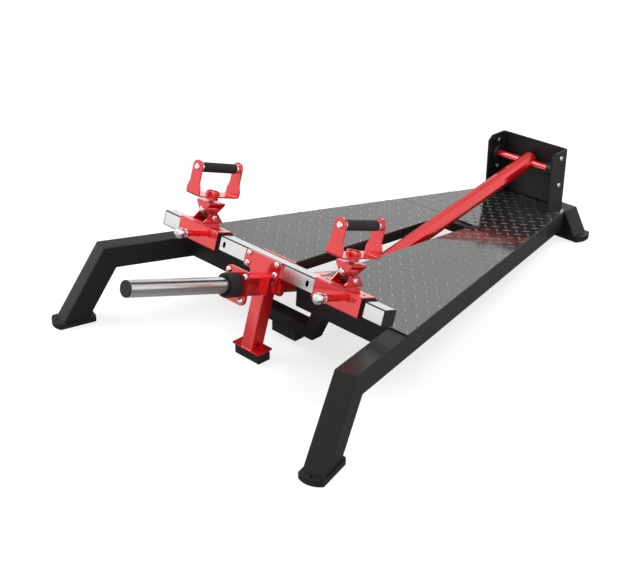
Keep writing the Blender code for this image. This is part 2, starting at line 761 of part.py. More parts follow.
def flange_bearing(side, name):
    """Housing, its two bolts and, on the right, the spacer that takes up the shaft's spare length."""
    inward = -X * side
    face = BRACKET_HALF - BRACKET_PLATE - GAP
    root = Vector((side * face, PIVOT_Y, PIVOT_Z))
    turn = Matrix(((0, 0, -side, root.x), (0, 1, 0, PIVOT_Y), (1, 0, 0, PIVOT_Z), (0, 0, 0, 1)))
    bearing = plate(name + "_flange_bearing", [bearing_outline()], BEARING_PLATE, BLACK_PAINT,
                    matrix=turn)
    tip = BEARING_PLATE + BEARING_BOSS
    profile = [(BOSS_TIP, tip), (BOSS_ROOT, BEARING_PLATE), (BOSS_ROOT, LAP), (0, LAP)]
    if side > 0:
        profile = [(0, tip + SPACER_LONG), (SPACER_RADIUS, tip + SPACER_LONG),
                   (SPACER_RADIUS, tip)] + profile
    else:
        profile = [(0, tip)] + profile
    join(bearing, turned(name + "_bearing_boss", profile, BLACK_PAINT, axis=inward, centre=root,
                         steps=16, helper=True))
    bolt = [(0, BEARING_PLATE + BOLT_HEAD_TALL), (BOLT_HEAD_RADIUS, BEARING_PLATE + BOLT_HEAD_TALL),
            (BOLT_HEAD_RADIUS, BEARING_PLATE - LAP), (BOLT_RADIUS, BEARING_PLATE - LAP),
            (BOLT_RADIUS, face - BRACKET_HALF - GAP)]
    outside = domed(BOLT_HEAD_RADIUS, BOLT_HEAD_TALL, BRACKET_HALF + GAP - face)
    bolt += [(radius, -height) for radius, height in reversed(outside)]
    for rise in (-BEARING_BOLT_REACH, BEARING_BOLT_REACH):
        join(bearing, turned(name + "_bearing_bolt", bolt, STEEL, axis=inward,
                             centre=root + Z * rise, steps=8, helper=True))
    reach = tip + SPACER_LONG + OPEN
    return cut(bearing, rod(name + "_bearing_bore", SHAFT_RADIUS + FIT, root - inward * OPEN,
                            root + inward * reach, STEEL, helper=True, segments=16))


flange_bearing(1, "right")
flange_bearing(-1, "left")

# Arm, everything below turns with it about the pivot
ARM = pivot("arm_axis", (0, PIVOT_Y, PIVOT_Z))
SECTION = pivot("section_datum", (0, SECTION_Y - PIVOT_Y, SECTION_Z - PIVOT_Z),
                (-SECTION_TILT, 0, 0), ARM)
SECTION_WORLD = SECTION.matrix_world.copy()
TO_SECTION = SECTION_WORLD.inverted()
BAR_Y = BAR_SIZE / 2
BAR_Z = -BAR_SIZE / 2
CLAMP_BACK = BAR_SIZE + GAP + CLAMP_THICK


def bent_run(start, bend, end, radius, steps=5):
    """A straight, an arc and a straight, as points in the YZ plane."""
    back = (start - bend).normalized()
    ahead = (end - bend).normalized()
    half = back.angle(ahead) / 2
    centre = bend + (back + ahead).normalized() * radius / math.sin(half)
    first = bend + back * radius / math.tan(half) - centre
    last = bend + ahead * radius / math.tan(half) - centre
    turn = first.angle(last)
    axis = first.cross(last).normalized()
    arc = [centre + Matrix.Rotation(turn * k / steps, 3, axis) @ first for k in range(steps + 1)]
    return [start, *arc, end]


def round_tube(name, points, radius, material, helper=False):
    curve = bpy.data.curves.new(name, "CURVE")
    curve.dimensions = "3D"
    curve.bevel_depth = radius
    curve.bevel_resolution = 4
    curve.use_fill_caps = True
    spline = curve.splines.new("POLY")
    spline.points.add(len(points) - 1)
    for point, spot in zip(spline.points, points):
        point.co = (*spot, 1)
    return solid_curve(name, curve, material, helper)


def arm():
    """The bent tube, with the plate that bolts it to the clamp and the bore for the shaft."""
    plate_back = CLAMP_BACK + GAP + ARM_PLATE_THICK
    start = SECTION_WORLD @ Vector((0, plate_back - ARM_PLATE_THICK / 2, SLEEVE_AXIS))
    bend = Vector((0, ARM_BEND_Y, ARM_BEND_Z))
    axle = Vector((0, PIVOT_Y, PIVOT_Z))
    end = axle + (axle - bend).normalized() * ARM_TAIL
    route = bent_run(start, bend, end, ARM_BEND_RADIUS)
    to_arm = ARM.matrix_world.inverted()
    piece = round_tube("arm_tube", route, ARM_RADIUS, RED_PAINT)
    run_in = (route[1] - route[0]).normalized()
    run_out = (route[-1] - route[-2]).normalized()
    hollow = [route[0] + run_in * ARM_PLATE_THICK, *route[1:-1], route[-1] + run_out * OPEN]
    bore = round_tube("arm_bore", hollow, ARM_RADIUS - ARM_WALL, RED_PAINT, helper=True)
    lay = Matrix(((1, 0, 0, 0), (0, 0, 1, CLAMP_BACK + GAP), (0, 1, 0, 0), (0, 0, 0, 1)))
    half = ARM_PLATE_WIDE / 2
    edge = rectangle(-half, half, ARM_PLATE_BOTTOM, ARM_PLATE_TOP, ARM_PLATE_RADIUS, 4)
    front = plate("arm_front_plate", [edge], ARM_PLATE_THICK, RED_PAINT, helper=True,
                  matrix=SECTION_WORLD @ lay)
    eye = rod("arm_eye", SHAFT_RADIUS + FIT, axle - X * 2 * ARM_RADIUS,
              axle + X * 2 * ARM_RADIUS, RED_PAINT, helper=True, segments=20)
    for item in (piece, bore, front, eye):
        item.data.transform(to_arm)
    place(piece, ARM)
    join(piece, front)
    cut(piece, bore, eye)


arm()
SHAFT_HALF = BRACKET_HALF - BRACKET_PLATE - SHAFT_INSET
place(rod("pivot_shaft", SHAFT_RADIUS, -X * SHAFT_HALF, X * SHAFT_HALF, RED_PAINT, segments=16),
      ARM)


# Crossbar with its slots and end caps
def crossbar():
    end = BAR_HALF - BAR_CAP_THICK - GAP
    path = [Vector((-end, 0, 0)), Vector((end, 0, 0))]
    bar, bore = tube("crossbar", (-BAR_SIZE, 0, -BAR_SIZE, 0), path, -Y, (X, X), CHROME,
                     BAR_WALL, (OPEN, OPEN), BAR_RADIUS)
    place(bar, SECTION)
    cut(bar, bore)
    half_wide, half_tall = SLOT_WIDE / 2, SLOT_TALL / 2
    lay = Matrix(((1, 0, 0, 0), (0, 0, 1, -OPEN), (0, 1, 0, BAR_Z), (0, 0, 0, 1)))
    for side in (-1, 1):
        for index in range(SLOT_COUNT):
            x = side * (SLOT_FIRST + index * SLOT_PITCH)
            shape = rectangle(x - half_wide, x + half_wide, -half_tall, half_tall,
                              SLOT_ROUND, 2)
            cut(bar, plate("bar_slot", [shape], OPEN + BAR_WALL + LAP, CHROME, helper=True,
                           matrix=lay))
    for x, z in clamp_bolts():
        cut(bar, rod("bar_bolt_hole", CLAMP_BOLT_RADIUS + FIT, (x, -OPEN, z),
                     (x, BAR_SIZE + OPEN, z), CHROME, helper=True, segments=8))
    room = BAR_SIZE / 2 - BAR_WALL - FIT
    for side, name in ((-1, "left"), (1, "right")):
        outside = rectangle(-BAR_SIZE / 2, BAR_SIZE / 2, -BAR_SIZE / 2, BAR_SIZE / 2,
                            BAR_RADIUS)
        turn = Matrix(((0, 0, side, side * (end + GAP)), (1, 0, 0, BAR_Y), (0, 1, 0, BAR_Z),
                       (0, 0, 0, 1)))
        cap = place(plate(name + "_bar_cap", [outside], BAR_CAP_THICK, PLASTIC, matrix=turn),
                    SECTION)
        near, far = sorted((side * (end - BAR_CAP_PLUG), side * (end + BAR_CAP_THICK / 2)))
        join(cap, box(name + "_bar_plug", (near, BAR_Y - room, BAR_Z - room),
                      (far, BAR_Y + room, BAR_Z + room), PLASTIC, helper=True))


def clamp_bolts():
    return [(x, BAR_Z + z) for x in (-CLAMP_BOLT_X, CLAMP_BOLT_X)
            for z in (CLAMP_BOLT_Z, -CLAMP_BOLT_Z)]


crossbar()


# Clamp plates in front of and behind the bar, with their four bolts
def clamp_plate(name, y, rise):
    skirt = -BAR_SIZE - CLAMP_SKIRT
    outline = rounded([(-CLAMP_HALF, rise), (-CLAMP_HALF, skirt), (-TONGUE_HALF, skirt),
                       (-TONGUE_HALF, TONGUE_BOTTOM), (TONGUE_HALF, TONGUE_BOTTOM),
                       (TONGUE_HALF, skirt), (CLAMP_HALF, skirt), (CLAMP_HALF, rise)],
                      CLAMP_RADIUS)
    holes = [circle(CLAMP_BOLT_RADIUS + FIT, x, z) for x, z in clamp_bolts()]
    lay = Matrix(((1, 0, 0, 0), (0, 0, 1, y), (0, 1, 0, 0), (0, 0, 0, 1)))
    return place(plate(name, [outline, *holes], CLAMP_THICK, RED_PAINT, matrix=lay), SECTION)


clamp_plate("front_clamp_plate", -GAP - CLAMP_THICK, -GAP)
clamp_plate("rear_clamp_plate", BAR_SIZE + GAP, CLAMP_RISE)


def through_bolt(name, grip_long, centre, axis=-Y):
    """A bolt with a dome on the face at its centre and a round nut on the far side of the grip."""
    far = -grip_long
    profile = domed(CLAMP_HEAD_RADIUS, CLAMP_HEAD_TALL)
    profile += [(CLAMP_BOLT_RADIUS, 0), (CLAMP_BOLT_RADIUS, far), (CLAMP_HEAD_RADIUS, far),
                (CLAMP_HEAD_RADIUS, far - CLAMP_HEAD_TALL), (0, far - CLAMP_HEAD_TALL)]
    place(turned(name, profile, STEEL, axis=axis, centre=centre, steps=8), SECTION)


for number, (bolt_x, bolt_z) in enumerate(clamp_bolts(), 1):
    head_y = -2 * GAP - CLAMP_THICK
    nut_y = BAR_SIZE + 2 * GAP + CLAMP_THICK
    through_bolt(f"clamp_bolt_{number}", nut_y - head_y, (bolt_x, head_y, bolt_z))


# Post under the bar, with its base plate on a rubber pad
def post():
    floor, up = local_plane(SECTION_WORLD, (0, 0, BASE_TOP - BASE_THICK / 2), Z)
    top = Vector((0, 0, -BAR_SIZE - GAP))
    path = [top, slide(top, Z, (floor, up))]
    half = POST_SIZE / 2
    piece, bore = tube("post", (-half, half, 0, POST_SIZE), path, X, (Z, up), RED_PAINT,
                       TUBE_WALL, (OPEN, -TUBE_WALL - BASE_THICK / 2))
    place(piece, SECTION)
    cut(piece, bore)
    base = plate("post_base", [rectangle(-BASE_HALF, BASE_HALF, BASE_FRONT, BASE_REAR, BASE_RADIUS, 3)],
                 BASE_THICK, RED_PAINT, helper=True,
                 matrix=TO_SECTION @ Matrix.Translation((0, 0, BASE_TOP - BASE_THICK)))
    join(piece, base)
    drop = (SECTION_WORLD @ Vector((0, BAR_Y, BAR_Z))).z - POST_HOLE_HEIGHT
    spot = Vector((0, BAR_Y, BAR_Z - drop / math.cos(math.radians(SECTION_TILT))))
    hole = rod("post_hole", POST_HOLE_RADIUS, spot, spot + X * POST_SIZE, RED_PAINT, helper=True,
               segments=16)
    room = rod("post_bolt_hole", CLAMP_BOLT_RADIUS + FIT, (-POST_SIZE, POST_BOLT_Y, POST_BOLT_Z),
               (POST_SIZE, POST_BOLT_Y, POST_BOLT_Z), RED_PAINT, helper=True, segments=10)
    cut(piece, hole, room)
    through_bolt("post_bolt", 2 * (half + GAP), (half + GAP, POST_BOLT_Y, POST_BOLT_Z), X)
    pad = box("post_pad", (-BASE_HALF + POST_PAD_INSET, BASE_FRONT + POST_PAD_INSET, 0),
              (BASE_HALF - POST_PAD_INSET, BASE_REAR - POST_PAD_INSET, BASE_TOP - BASE_THICK - GAP),
              RUBBER)
    pad.data.transform(ARM.matrix_world.inverted())
    place(pad, ARM)


post()


# Weight sleeve: box spacer, bolted flange, rubber collar, sleeve and its cap
def sleeve_group():
    front_plate = -2 * GAP - CLAMP_THICK
    box_path = [Vector((0, SLEEVE_BOX_FRONT, SLEEVE_AXIS)), Vector((0, front_plate, SLEEVE_AXIS))]
    half_wide, half_tall = SLEEVE_BOX_WIDE / 2, SLEEVE_BOX_TALL / 2
    spacer, bore = tube("sleeve_box", (-half_wide, half_wide, -half_tall, half_tall), box_path, X,
                        (Y, Y), RED_PAINT, TUBE_WALL, (-TUBE_WALL, OPEN))
    place(spacer, SECTION)
    half = FLANGE_SIZE / 2
    bolts = [(x, z) for x in (-FLANGE_BOLT, FLANGE_BOLT) for z in (-FLANGE_BOLT, FLANGE_BOLT)]
    square = [rectangle(-half, half, -half, half, FLANGE_RADIUS, 5),
              *[circle(CLAMP_BOLT_RADIUS + FIT, x, z) for x, z in bolts]]

    def flange(name, y, helper):
        lay = Matrix(((1, 0, 0, 0), (0, 0, 1, y), (0, 1, 0, SLEEVE_AXIS), (0, 0, 0, 1)))
        return plate(name, square, FLANGE_THICK, RED_PAINT, helper=helper, matrix=lay)

    back_y = SLEEVE_BOX_FRONT - FLANGE_THICK + LAP
    join(spacer, flange("sleeve_box_flange", back_y, True))
    cut(spacer, bore)
    front_y = back_y - GAP - FLANGE_THICK
    place(flange("sleeve_flange", front_y, False), SECTION)
    head, nut = front_y - GAP, back_y + FLANGE_THICK + GAP
    for number, (x, z) in enumerate(bolts, 1):
        through_bolt(f"flange_bolt_{number}", nut - head, (x, head, SLEEVE_AXIS + z))
    root = front_y - GAP
    tip = SLEEVE_TIP + TIP_CAP_THICK + GAP
    axis = Vector((0, 0, SLEEVE_AXIS))
    sleeve = rod("weight_sleeve", SLEEVE_RADIUS, axis + Y * root, axis + Y * tip, CHROME,
                 segments=SLEEVE_STEPS)
    place(sleeve, SECTION)
    cut(sleeve, rod("sleeve_bore", SLEEVE_RADIUS - SLEEVE_WALL, axis + Y * (root - SLEEVE_WALL),
                    axis + Y * (tip - OPEN), CHROME, helper=True, segments=SLEEVE_STEPS))
    long = root - COLLAR_FRONT
    hole = SLEEVE_RADIUS + GAP
    recess = RUBBER_RADIUS - RUBBER_LIP
    profile = [(hole, long - RUBBER_RECESS), (recess, long - RUBBER_RECESS), (recess, long),
               (RUBBER_RADIUS - EDGE, long), (RUBBER_RADIUS, long - EDGE),
               (RUBBER_RADIUS, 0), (hole, 0), (hole, long - RUBBER_RECESS)]
    place(turned("sleeve_collar", profile, RUBBER, axis=-Y, centre=axis + Y * root,
                 steps=SLEEVE_STEPS), SECTION)
    room = SLEEVE_RADIUS - SLEEVE_WALL - FIT
    profile = [(0, TIP_CAP_THICK), (SLEEVE_RADIUS - EDGE, TIP_CAP_THICK),
               (SLEEVE_RADIUS, TIP_CAP_THICK - EDGE), (SLEEVE_RADIUS, 0), (room, 0),
               (room, -TIP_CAP_PLUG), (0, -TIP_CAP_PLUG)]
    place(turned("sleeve_end_cap", profile, PLASTIC, axis=-Y,
                 centre=axis + Y * (SLEEVE_TIP + TIP_CAP_THICK), steps=20), SECTION)


sleeve_group()


# Slider on the bar: red tube, plastic liner and spring pin
def slider(x, name):
    slide_datum = pivot(name + "_slider_axis", (x, BAR_Y, BAR_Z), parent=SECTION)
    half = SLIDER_LONG / 2
    size = SLIDER_SIZE / 2
    span = (-size, size, -size, size)
    ends = [Vector((-half, 0, 0)), Vector((half, 0, 0))]
    body, bore = tube(name + "_slider", span, ends, -Y, (X, X), RED_PAINT, SLIDER_WALL,
                      (OPEN, OPEN), SLIDER_RADIUS)
    place(body, slide_datum)
    cut(body, bore)
    face = -size
    join(body, rod(name + "_pin_barrel", BARREL_RADIUS, (0, face + LAP, 0),
                   (0, face - BARREL_LONG, 0), RED_PAINT, helper=True, segments=16))
    cut(body, rod(name + "_pin_hole", PIN_RADIUS + FIT, (0, face - BARREL_LONG - OPEN, 0), Vector(),
                  RED_PAINT, helper=True))
    for reach in (-SCREW_REACH, SCREW_REACH):
        cut(body, rod(name + "_screw_hole", SCREW_RADIUS, (reach, 0, 0), (reach, 0, size + OPEN),
                      RED_PAINT, helper=True, segments=10))
    outer = size - SLIDER_WALL - GAP
    inner = BAR_SIZE / 2 + GAP
    shell = [Vector((-half - LINER_LIP, 0, 0)), Vector((half + LINER_REACH, 0, 0))]
    liner, inside = tube(name + "_slider_liner", (-outer, outer, -outer, outer), shell, -Y, (X, X),
                         PLASTIC, outer - inner, (OPEN, OPEN), LINER_RADIUS)
    place(liner, slide_datum)
    cut(liner, inside, rod(name + "_liner_hole", PIN_RADIUS + 2 * FIT, (0, face - OPEN, 0), Vector(),
                           PLASTIC, helper=True))
    # At rest the pin's nose rides on the face of the bar, over a slot
    nose = BAR_SIZE / 2 + GAP
    pin_datum = pivot(name + "_pin_axis", (0, -nose, 0), parent=slide_datum)
    rise = size - nose
    ball = KNOB_REACH + rise
    profile = [(0, ball + KNOB_RADIUS)]
    for step in range(1, 8):
        angle = math.pi * step / 10
        profile.append((KNOB_RADIUS * math.sin(angle), ball + KNOB_RADIUS * math.cos(angle)))
    for index in reversed(range(KNURL_COUNT)):
        ridge = KNURL_START + index * KNURL_PITCH + rise
        profile += [(KNURL_RADIUS - KNURL_DEPTH, ridge + KNURL_PITCH * 0.8),
                    (KNURL_RADIUS, ridge + KNURL_PITCH * 0.6), (KNURL_RADIUS, ridge)]
    profile += [(PIN_RADIUS, KNURL_START + rise), (PIN_RADIUS, EDGE), (PIN_RADIUS - EDGE, 0), (0, 0)]
    place(turned(name + "_pop_pin", profile, CHROME, axis=-Y, steps=12), pin_datum)
    return slide_datum


def apex_reach(half, rise, radius):
    """How far past its pin the sides of an ear meet, when they touch a round of this radius."""
    lean = math.atan2(half, rise) - math.asin(radius / math.hypot(half, rise))
    return radius / math.sin(lean)


# Gimbal: lower yoke, cross block and upper yoke
def lower_yoke(name, datum, top):
    """A folded U whose ears carry the lower pin, on a short neck and a plate welded to the slider."""
    outer, base = YOKE_BASE_HALF, YOKE_BASE_LONG / 2
    floor = YOKE_WELD_PLATE + YOKE_NECK
    pin = LOWER_PIN_RISE - GAP
    lip = floor + YOKE_LIP
    apex = pin + apex_reach(base, pin - lip, LOWER_EAR_RADIUS)
    high = pin + LOWER_EAR_RADIUS + OPEN
    inner, bend = outer - YOKE_PLATE, YOKE_BEND
    strip = rounded([(-outer, floor, bend), (outer, floor, bend), (outer, high, 0), (inner, high, 0),
                     (inner, floor + YOKE_PLATE, bend - YOKE_PLATE),
                     (-inner, floor + YOKE_PLATE, bend - YOKE_PLATE), (-inner, high, 0),
                     (-outer, high, 0)])
    lay = Matrix(((1, 0, 0, 0), (0, 0, 1, -base - OPEN), (0, 1, 0, 0), (0, 0, 0, 1)))
    yoke = plate(name + "_lower_yoke", [strip], 2 * (base + OPEN), RED_PAINT, matrix=lay)
    place(yoke, datum, (0, 0, top + GAP))
    ear = rounded([(-base, floor - OPEN), (base, floor - OPEN), (base, lip),
                   (0, apex, LOWER_EAR_RADIUS), (-base, lip)], steps=8)
    lay = Matrix(((0, 0, 1, -outer - OPEN), (1, 0, 0, 0), (0, 1, 0, 0), (0, 0, 0, 1)))
    modify(yoke, plate(name + "_ear_outline", [ear], 2 * (outer + OPEN), RED_PAINT, helper=True,
                       matrix=lay), "INTERSECT")
    for inset, low, high in ((YOKE_NECK_INSET, YOKE_WELD_PLATE - EDGE, floor + EDGE),
                             (YOKE_WELD_INSET, 0, YOKE_WELD_PLATE)):
        wide, long = outer - inset + YOKE_WELD_INSET, base - inset
        join(yoke, box(name + "_yoke_weld", (-wide, -long, low), (wide, long, high), RED_PAINT,
                       helper=True))
    cut(yoke, rod(name + "_lower_ear_hole", GIMBAL_PIN + FIT, (-2 * outer, 0, pin),
                  (2 * outer, 0, pin), RED_PAINT, helper=True))


def cross_block(name, datum):
    """Two crossed barrels and their pins, on the lower pin's axis; the lower one clears the folds."""
    lower_half = YOKE_BASE_HALF - YOKE_BEND - FIT
    upper_half = UPPER_YOKE_DEEP / 2 - YOKE_PLATE - FIT
    rise = UPPER_PIN_RISE - LOWER_PIN_RISE
    block = rod(name + "_cross_block", BARREL_LOWER, -X * lower_half, X * lower_half, RED_PAINT,
                segments=16)
    place(block, datum)
    web = WEB_HALF
    join(block,
         rod(name + "_upper_barrel", BARREL_UPPER, -Y * upper_half + Z * rise,
             Y * upper_half + Z * rise, RED_PAINT, helper=True, segments=16),
         box(name + "_block_web", (-web, -web, 0), (web, web, rise), RED_PAINT, helper=True))
    for axis, height, edge in ((X, 0, YOKE_BASE_HALF), (Y, rise, UPPER_YOKE_DEEP / 2)):
        head = edge + FIT
        profile = domed(GIMBAL_HEAD, GIMBAL_HEAD_TALL, head) + [(GIMBAL_PIN, head)]
        profile += [(radius, -along) for radius, along in reversed(profile)]
        join(block, turned(name + "_gimbal_pin", profile, STEEL, axis=axis, centre=Z * height,
                           steps=8, helper=True))


def upper_yoke(name, datum):
    """Top plate, two tapered ears and the swivel stud with its nut, on the upper pin's axis."""
    half_wide, half_deep = UPPER_YOKE_WIDE / 2, UPPER_YOKE_DEEP / 2
    low = UPPER_YOKE_RISE - UPPER_PIN_RISE
    high = low + UPPER_YOKE_PLATE
    apex = -apex_reach(half_wide, low, UPPER_EAR_RADIUS)
    ear = rounded([(half_wide, high), (-half_wide, high), (-half_wide, low),
                   (0, apex, UPPER_EAR_RADIUS), (half_wide, low)], steps=8)
    yoke = box(name + "_upper_yoke", (-half_wide, -half_deep, low), (half_wide, half_deep, high),
               RED_PAINT)
    place(yoke, datum)
    for near in (-half_deep, half_deep - YOKE_PLATE):
        lay = Matrix(((1, 0, 0, 0), (0, 0, 1, near), (0, 1, 0, 0), (0, 0, 0, 1)))
        join(yoke, plate(name + "_upper_ear", [ear], YOKE_PLATE, RED_PAINT, helper=True,
                         matrix=lay))
    nut = RING_LEDGE + NUT_LIFT - UPPER_PIN_RISE
    stud = [(0, nut + NUT_TALL + LAP), (STUD_RADIUS, nut + NUT_TALL + LAP),
            (STUD_RADIUS, nut + NUT_TALL), (NUT_RADIUS, nut + NUT_TALL), (NUT_RADIUS, nut),
            (STUD_RADIUS, nut), (STUD_RADIUS, high - LAP), (0, high - LAP)]
    join(yoke, turned(name + "_stud", stud, STEEL, steps=12, helper=True))
    cut(yoke, rod(name + "_upper_ear_hole", GIMBAL_PIN + FIT, -Y * UPPER_YOKE_DEEP,
                  Y * UPPER_YOKE_DEEP, RED_PAINT, helper=True))


def handle_frame(name, datum):
    """D frame: a folded strip cut to its side outline, with the swivel ring welded in."""
    top = GRIP_RISE + FRAME_NARROW / 2 - RING_LEDGE
    low = FRAME_BOTTOM - RING_LEDGE
    grip = GRIP_RISE - RING_LEDGE
    half = FRAME_LONG / 2
    inner = half - FRAME_PLATE
    fold = FRAME_BEND
    strip = rounded([(-half, low, fold), (half, low, fold), (half, top, 0), (inner, top, 0),
                     (inner, low + FRAME_PLATE, fold - FRAME_PLATE),
                     (-inner, low + FRAME_PLATE, fold - FRAME_PLATE), (-inner, top, 0),
                     (-half, top, 0)])
    wide = FRAME_WIDE / 2
    lay = Matrix(((0, 0, 1, -wide - OPEN), (1, 0, 0, 0), (0, 1, 0, 0), (0, 0, 0, 1)))
    frame = plate(name + "_handle_frame", [strip], 2 * (wide + OPEN), RED_PAINT, matrix=lay)
    place(frame, datum)
    narrow = FRAME_NARROW / 2
    side = [(wide, low - OPEN), (wide, NECK_START - RING_LEDGE)]
    for step in range(1, 6):
        share = step / 5
        ease = share * share * (3 - 2 * share)
        side.append((wide + (narrow - wide) * ease,
                     NECK_START - RING_LEDGE + (NECK_END - NECK_START) * share))
    for step in range(7):
        angle = math.pi / 2 * step / 6
        side.append((narrow * math.cos(angle), grip + narrow * math.sin(angle)))
    outline = side + [(-x, z) for x, z in reversed(side[:-1])]
    face = Matrix(((1, 0, 0, 0), (0, 0, 1, -half - OPEN), (0, 1, 0, 0), (0, 0, 0, 1)))
    modify(frame, plate(name + "_frame_outline", [[Vector(spot) for spot in outline]],
                        FRAME_LONG + 2 * OPEN, RED_PAINT, helper=True, matrix=face), "INTERSECT")
    join(frame, rod(name + "_ring", RING_RADIUS, Z * (RING_BOTTOM - RING_LEDGE),
                    Z * (RING_TOP - RING_LEDGE), RED_PAINT, helper=True, segments=18))
    cut(frame,
        rod(name + "_ring_room", RING_RADIUS - RING_WALL, Vector(),
            Z * (RING_TOP - RING_LEDGE + OPEN), RED_PAINT, helper=True, segments=18),
        rod(name + "_ring_bore", STUD_RADIUS + FIT, Z * -OPEN * 4, Z * OPEN * 4, RED_PAINT,
            helper=True),
        rod(name + "_grip_hole", GRIP_BAR_RADIUS + GAP, Vector((0, -half - OPEN, grip)),
            Vector((0, half + OPEN, grip)), RED_PAINT, helper=True))


def grip(name, datum):
    """Rubber grip on its bar; the bar has a collar inside and a button head outside each plate."""
    height = Z * (GRIP_RISE - RING_LEDGE)
    half = FRAME_LONG / 2
    inner = half - FRAME_PLATE - GAP
    collar = inner - GRIP_COLLAR_LONG
    profile = domed(GRIP_HEAD_RADIUS, GRIP_HEAD_TALL, half + GAP)
    profile += [(GRIP_BAR_RADIUS, half + GAP), (GRIP_BAR_RADIUS, inner), (GRIP_COLLAR_RADIUS, inner),
                (GRIP_COLLAR_RADIUS, collar), (GRIP_BAR_RADIUS, collar)]
    mirrored = [(radius, -along) for radius, along in reversed(profile)]
    place(turned(name + "_grip_bar", profile + mirrored, CHROME, axis=-Y, centre=height,
                 steps=12), datum)
    rubber = collar - GAP
    bore = GRIP_BAR_RADIUS + GAP
    profile = [(bore, rubber), (GRIP_RADIUS - EDGE, rubber), (GRIP_RADIUS, rubber - EDGE),
               (GRIP_RADIUS, EDGE - rubber), (GRIP_RADIUS - EDGE, -rubber), (bore, -rubber),
               (bore, rubber)]
    place(turned(name + "_grip", profile, RUBBER, axis=-Y, centre=height, steps=18), datum)


def handle(x, name):
    datum = slider(x, name)
    top = SLIDER_SIZE / 2
    lower_yoke(name, datum, top)
    lower = pivot(name + "_lower_gimbal_axis", (0, 0, top + LOWER_PIN_RISE), parent=datum)
    cross_block(name, lower)
    upper = pivot(name + "_upper_gimbal_axis", (0, 0, UPPER_PIN_RISE - LOWER_PIN_RISE),
                  parent=lower)
    upper_yoke(name, upper)
    swivel = pivot(name + "_swivel_axis", (0, 0, RING_LEDGE - UPPER_PIN_RISE), parent=upper)
    handle_frame(name, swivel)
    grip(name, swivel)


# Each slider stands with its pin over a slot of the bar
PIN_SLOT = SLOT_FIRST + SLIDER_SLOT * SLOT_PITCH
handle(-PIN_SLOT, "left")
handle(PIN_SLOT, "right")


def centre_on_floor():
    """Move the machine so that the origin is on the floor under the middle of its length."""
    bpy.context.view_layer.update()
    graph = bpy.context.evaluated_depsgraph_get()
    reach = []
    for piece in PARTS.objects:
        if piece.type == "MESH":
            solid = piece.evaluated_get(graph)
            reach += [(solid.matrix_world @ point.co).y for point in solid.data.vertices]
    middle = (min(reach) + max(reach)) / 2
    for piece in [*PARTS.objects, *CUTTERS.objects]:
        if piece.parent is None:
            piece.location.y -= middle
    bpy.context.view_layer.update()


centre_on_floor()
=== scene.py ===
import json
import math

import bpy
from mathutils import Matrix, Vector


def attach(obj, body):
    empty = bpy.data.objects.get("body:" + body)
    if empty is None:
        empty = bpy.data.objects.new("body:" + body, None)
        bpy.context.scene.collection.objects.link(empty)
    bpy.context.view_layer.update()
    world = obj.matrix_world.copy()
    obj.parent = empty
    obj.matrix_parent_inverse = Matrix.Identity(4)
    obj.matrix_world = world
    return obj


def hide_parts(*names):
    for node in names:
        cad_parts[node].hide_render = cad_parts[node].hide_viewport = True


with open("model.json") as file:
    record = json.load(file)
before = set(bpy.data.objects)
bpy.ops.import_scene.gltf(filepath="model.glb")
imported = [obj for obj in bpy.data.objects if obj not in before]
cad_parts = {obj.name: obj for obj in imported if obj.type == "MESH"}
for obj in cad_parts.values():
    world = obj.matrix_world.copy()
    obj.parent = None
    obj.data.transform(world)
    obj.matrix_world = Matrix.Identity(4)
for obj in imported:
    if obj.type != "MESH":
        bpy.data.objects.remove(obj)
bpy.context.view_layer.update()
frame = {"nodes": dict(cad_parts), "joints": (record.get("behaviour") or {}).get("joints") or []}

# The studio: a pale seamless floor, a white room that metal sees with brighter and darker
# parts, and three large soft lamps. The camera stands at the viewing angle of the
# photograph, level and without shift.
bpy.ops.object.select_all(action="DESELECT")
bpy.context.scene.view_settings.view_transform = "Standard"

CAMERA_SPOT = (2.3662, -2.5621, 1.8486)
LOOK_DOWN, LOOK_ROUND = 27.281, 45.385
LENS, SENSOR = 65.0, 36.0
camera = bpy.data.objects.new("camera", bpy.data.cameras.new("camera"))
bpy.context.scene.collection.objects.link(camera)
camera.location = CAMERA_SPOT
camera.rotation_euler = (math.radians(90 - LOOK_DOWN), 0, math.radians(LOOK_ROUND))
camera.data.lens = LENS
camera.data.sensor_width = SENSOR
bpy.context.scene.camera = camera

LAMPS = {"lamp_left": ((-2.6, -1.4, 3.0), 2.2, 74.0), "lamp_rear": ((0.8, 3.2, 3.2), 2.6, 62.0),
         "lamp_front": ((3.4, -1.2, 2.6), 1.8, 32.0)}
LAMP_AIM = Vector((0, 0, 0.2))
for name, (spot, size, power) in LAMPS.items():
    light = bpy.data.lights.new(name, "AREA")
    light.size = size
    light.energy = power
    lamp = bpy.data.objects.new(name, light)
    bpy.context.scene.collection.objects.link(lamp)
    lamp.location = spot
    lamp.visible_glossy = name != "lamp_rear"
    lamp.rotation_euler = (LAMP_AIM - Vector(spot)).to_track_quat("-Z", "Y").to_euler()


class Wire:
    """The output of a shader node; sums and products of wires add Math nodes."""

    def __init__(self, tree, socket):
        self.tree = tree
        self.socket = socket

    def math(self, operation, first, second):
        return node(self.tree, "Math", {"operation": operation}, {0: first, 1: second})

    def __add__(self, other):
        return self.math("ADD", self, other)

    def __sub__(self, other):
        return self.math("SUBTRACT", self, other)

    def __rsub__(self, other):
        return self.math("SUBTRACT", other, self)

    def __mul__(self, other):
        return self.math("MULTIPLY", self, other)

    __radd__ = __add__
    __rmul__ = __mul__


def plug(tree, socket, value):
    """Lead a wire into a socket, or set the socket's value."""
    if isinstance(value, Wire):
        tree.links.new(value.socket, socket)
    else:
        socket.default_value = value


